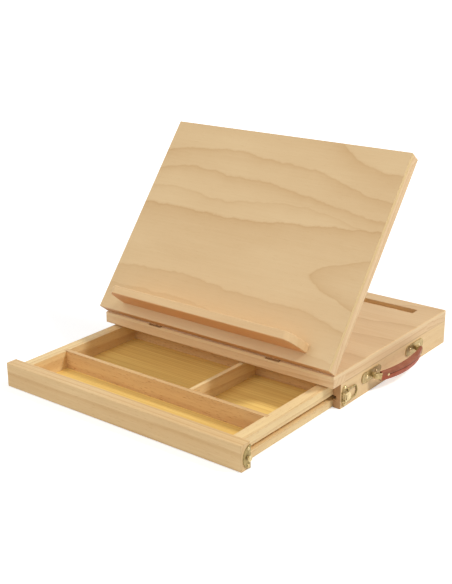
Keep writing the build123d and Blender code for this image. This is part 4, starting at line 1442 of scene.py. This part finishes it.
@dataclass
class Strike:
    """The half-round strike plate with its headed stud.

    Dome points are shares of the head's radius and thickness.
    """

    material: Material
    stud_material: Material
    plate: float = 1.0 * MM
    border: float = 0.35 * MM
    arc_steps: int = 28
    stud_radius: float = 1.5 * MM
    head_radius: float = 3.3 * MM
    head: float = 1.2 * MM
    dome: tuple[tuple[float, float], ...] = ((1.0, 0.0), (1.0, 0.45), (0.8, 0.8), (0.45, 0.96), (0.0, 1.0))
    stud_from_back: float = 4.9 * MM
    stud_steps: int = 28

    def build(self) -> None:
        """Cuts the plate, breaks its outer edge, and turns the stud."""
        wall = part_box("side_wall_right")[1][0]
        low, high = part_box("strike_plate")
        half, depth = (high[2] - low[2]) / 2, high[1] - low[1]
        shape = bmesh.new()
        turns = [math.pi * step / self.arc_steps for step in range(self.arc_steps + 1)]
        rim = [shape.verts.new((0.0, -depth * math.sin(turn), -half * math.cos(turn))) for turn in turns]
        grown = bmesh.ops.extrude_face_region(shape, geom=[shape.faces.new(rim)])
        top = next(item for item in grown["geom"] if isinstance(item, BMFace))
        bmesh.ops.translate(shape, verts=top.verts, vec=(self.plate, 0, 0))
        bmesh.ops.bevel(
            shape, geom=top.edges[:], offset=self.border, segments=2, profile=0.5, affect="EDGES",
            material=-1)
        plate_faces = set(shape.faces)
        neck = high[0] - wall - self.head
        profile = [(0.0, 0.0), (self.stud_radius, 0.0), (self.stud_radius, neck)]
        profile += [(self.head_radius * radius, neck + self.head * out) for radius, out in self.dome]
        points = [shape.verts.new((out, -self.stud_from_back + radius, 0.0)) for radius, out in profile]
        spun(shape, points, (0, -self.stud_from_back, 0), (1, 0, 0), self.stud_steps)
        for face in set(shape.faces) - plate_faces:
            face.material_index = 1
        bmesh.ops.translate(shape, verts=shape.verts, vec=(wall, high[1], (low[2] + high[2]) / 2))
        piece = finished("studded_strike", shape, self.material, "drawer", 35.0)
        piece.data.materials.append(self.stud_material)
        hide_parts("strike_plate")


@dataclass
class Fittings:
    """The brass, steel, rubber and leather pieces."""

    brass: MetalFinish = MetalFinish("bright_brass", srgb(226, 206, 160), srgb(190, 168, 118), 0.34)
    plate_brass: MetalFinish = MetalFinish("dull_brass", srgb(198, 176, 128), srgb(164, 142, 96), 0.46)
    strike_brass: MetalFinish = MetalFinish("dark_brass", srgb(176, 156, 108), srgb(140, 122, 78), 0.5)
    # Painted shade and painted reflection: the hinge brass is darker and browner, for knuckles that sit in
    # shade under the board and reflect the warm wood.
    shaded_hinge_brass: MetalFinish = MetalFinish("shaded_hinge_brass", srgb(186, 146, 104), srgb(152, 114, 78), 0.55)
    steel: MetalFinish = MetalFinish("drawn_steel", srgb(205, 205, 205), srgb(170, 170, 170), 0.3)
    handle_plate_face: float = 1.2 * MM
    plate_face: float = 1.0 * MM
    handle_screw_spacing: float = 21.0 * MM
    latch_screw_spacing: float = 20.0 * MM
    strike_screw_spacing: float = 19.0 * MM

    def build(self) -> None:
        """Dresses the metal nodes and builds the pieces that stand for the plainer ones."""
        brass, plates = self.brass.material(), self.plate_brass.material()
        self._dress(brass, plates)
        self._screws(brass)
        dark, leather = self.strike_brass.material(), LeatherFinish().material()
        for piece in (WireBail(dark), Strike(dark, brass), FoldedClips(plates), LeatherStrap(leather)):
            piece.build()

    def _dress(self, brass: Material, plates: Material) -> None:
        """Gives every metal and rubber node its finish.

        Args:
            brass: The brass of the small handled pieces.
            plates: The duller brass of the plates.
        """
        hinges = self.shaded_hinge_brass.material()
        others = {"steel": self.steel.material(), "foot_rubber": RubberFinish().material()}
        for item in frame["record"]["subparts"]:
            node, slot = item["node"], item["material_slot"]
            if slot == "brass":
                # The hinges get the brass with painted shade.
                dress_node(node, hinges if "hinge" in node else plates if "plate" in node else brass)
            elif slot in others:
                dress_node(node, others[slot])

    def _screws(self, brass: Material) -> None:
        """Replaces the plain screw heads by slotted ones.

        Args:
            brass: Their finish.
        """
        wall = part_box("side_wall_right")[1][0]
        screws = SlottedScrews()
        plates = [middle_of(node) for node in ("handle_plate_front", "handle_plate_rear")]
        out = wall + self.handle_plate_face
        steps = (-self.handle_screw_spacing / 2, self.handle_screw_spacing / 2)
        places = [Vector((out, plate.y + step, plate.z)) for plate in plates for step in steps]
        screws.build("handle_screws", places, (20.0, 75.0, -40.0, 55.0), "base", brass)
        for node, spacing, body, turns in (
                ("latch_screws", self.latch_screw_spacing, "base", (35.0, -65.0)),
                ("strike_screws", self.strike_screw_spacing, "drawer", (80.0, 15.0))):
            out, middle = wall + self.plate_face, middle_of(node)
            places = [Vector((out, middle.y, middle.z + side * spacing / 2)) for side in (-1, 1)]
            screws.build(node, places, turns, body, brass)


def main() -> None:
    """Builds the studio and the looks in order."""
    logging.basicConfig(level=logging.INFO, format="%(message)s", stream=sys.stdout)
    Studio().build()
    Carcass().dress()
    Fittings().build()


if __name__ == "__main__":
    main()
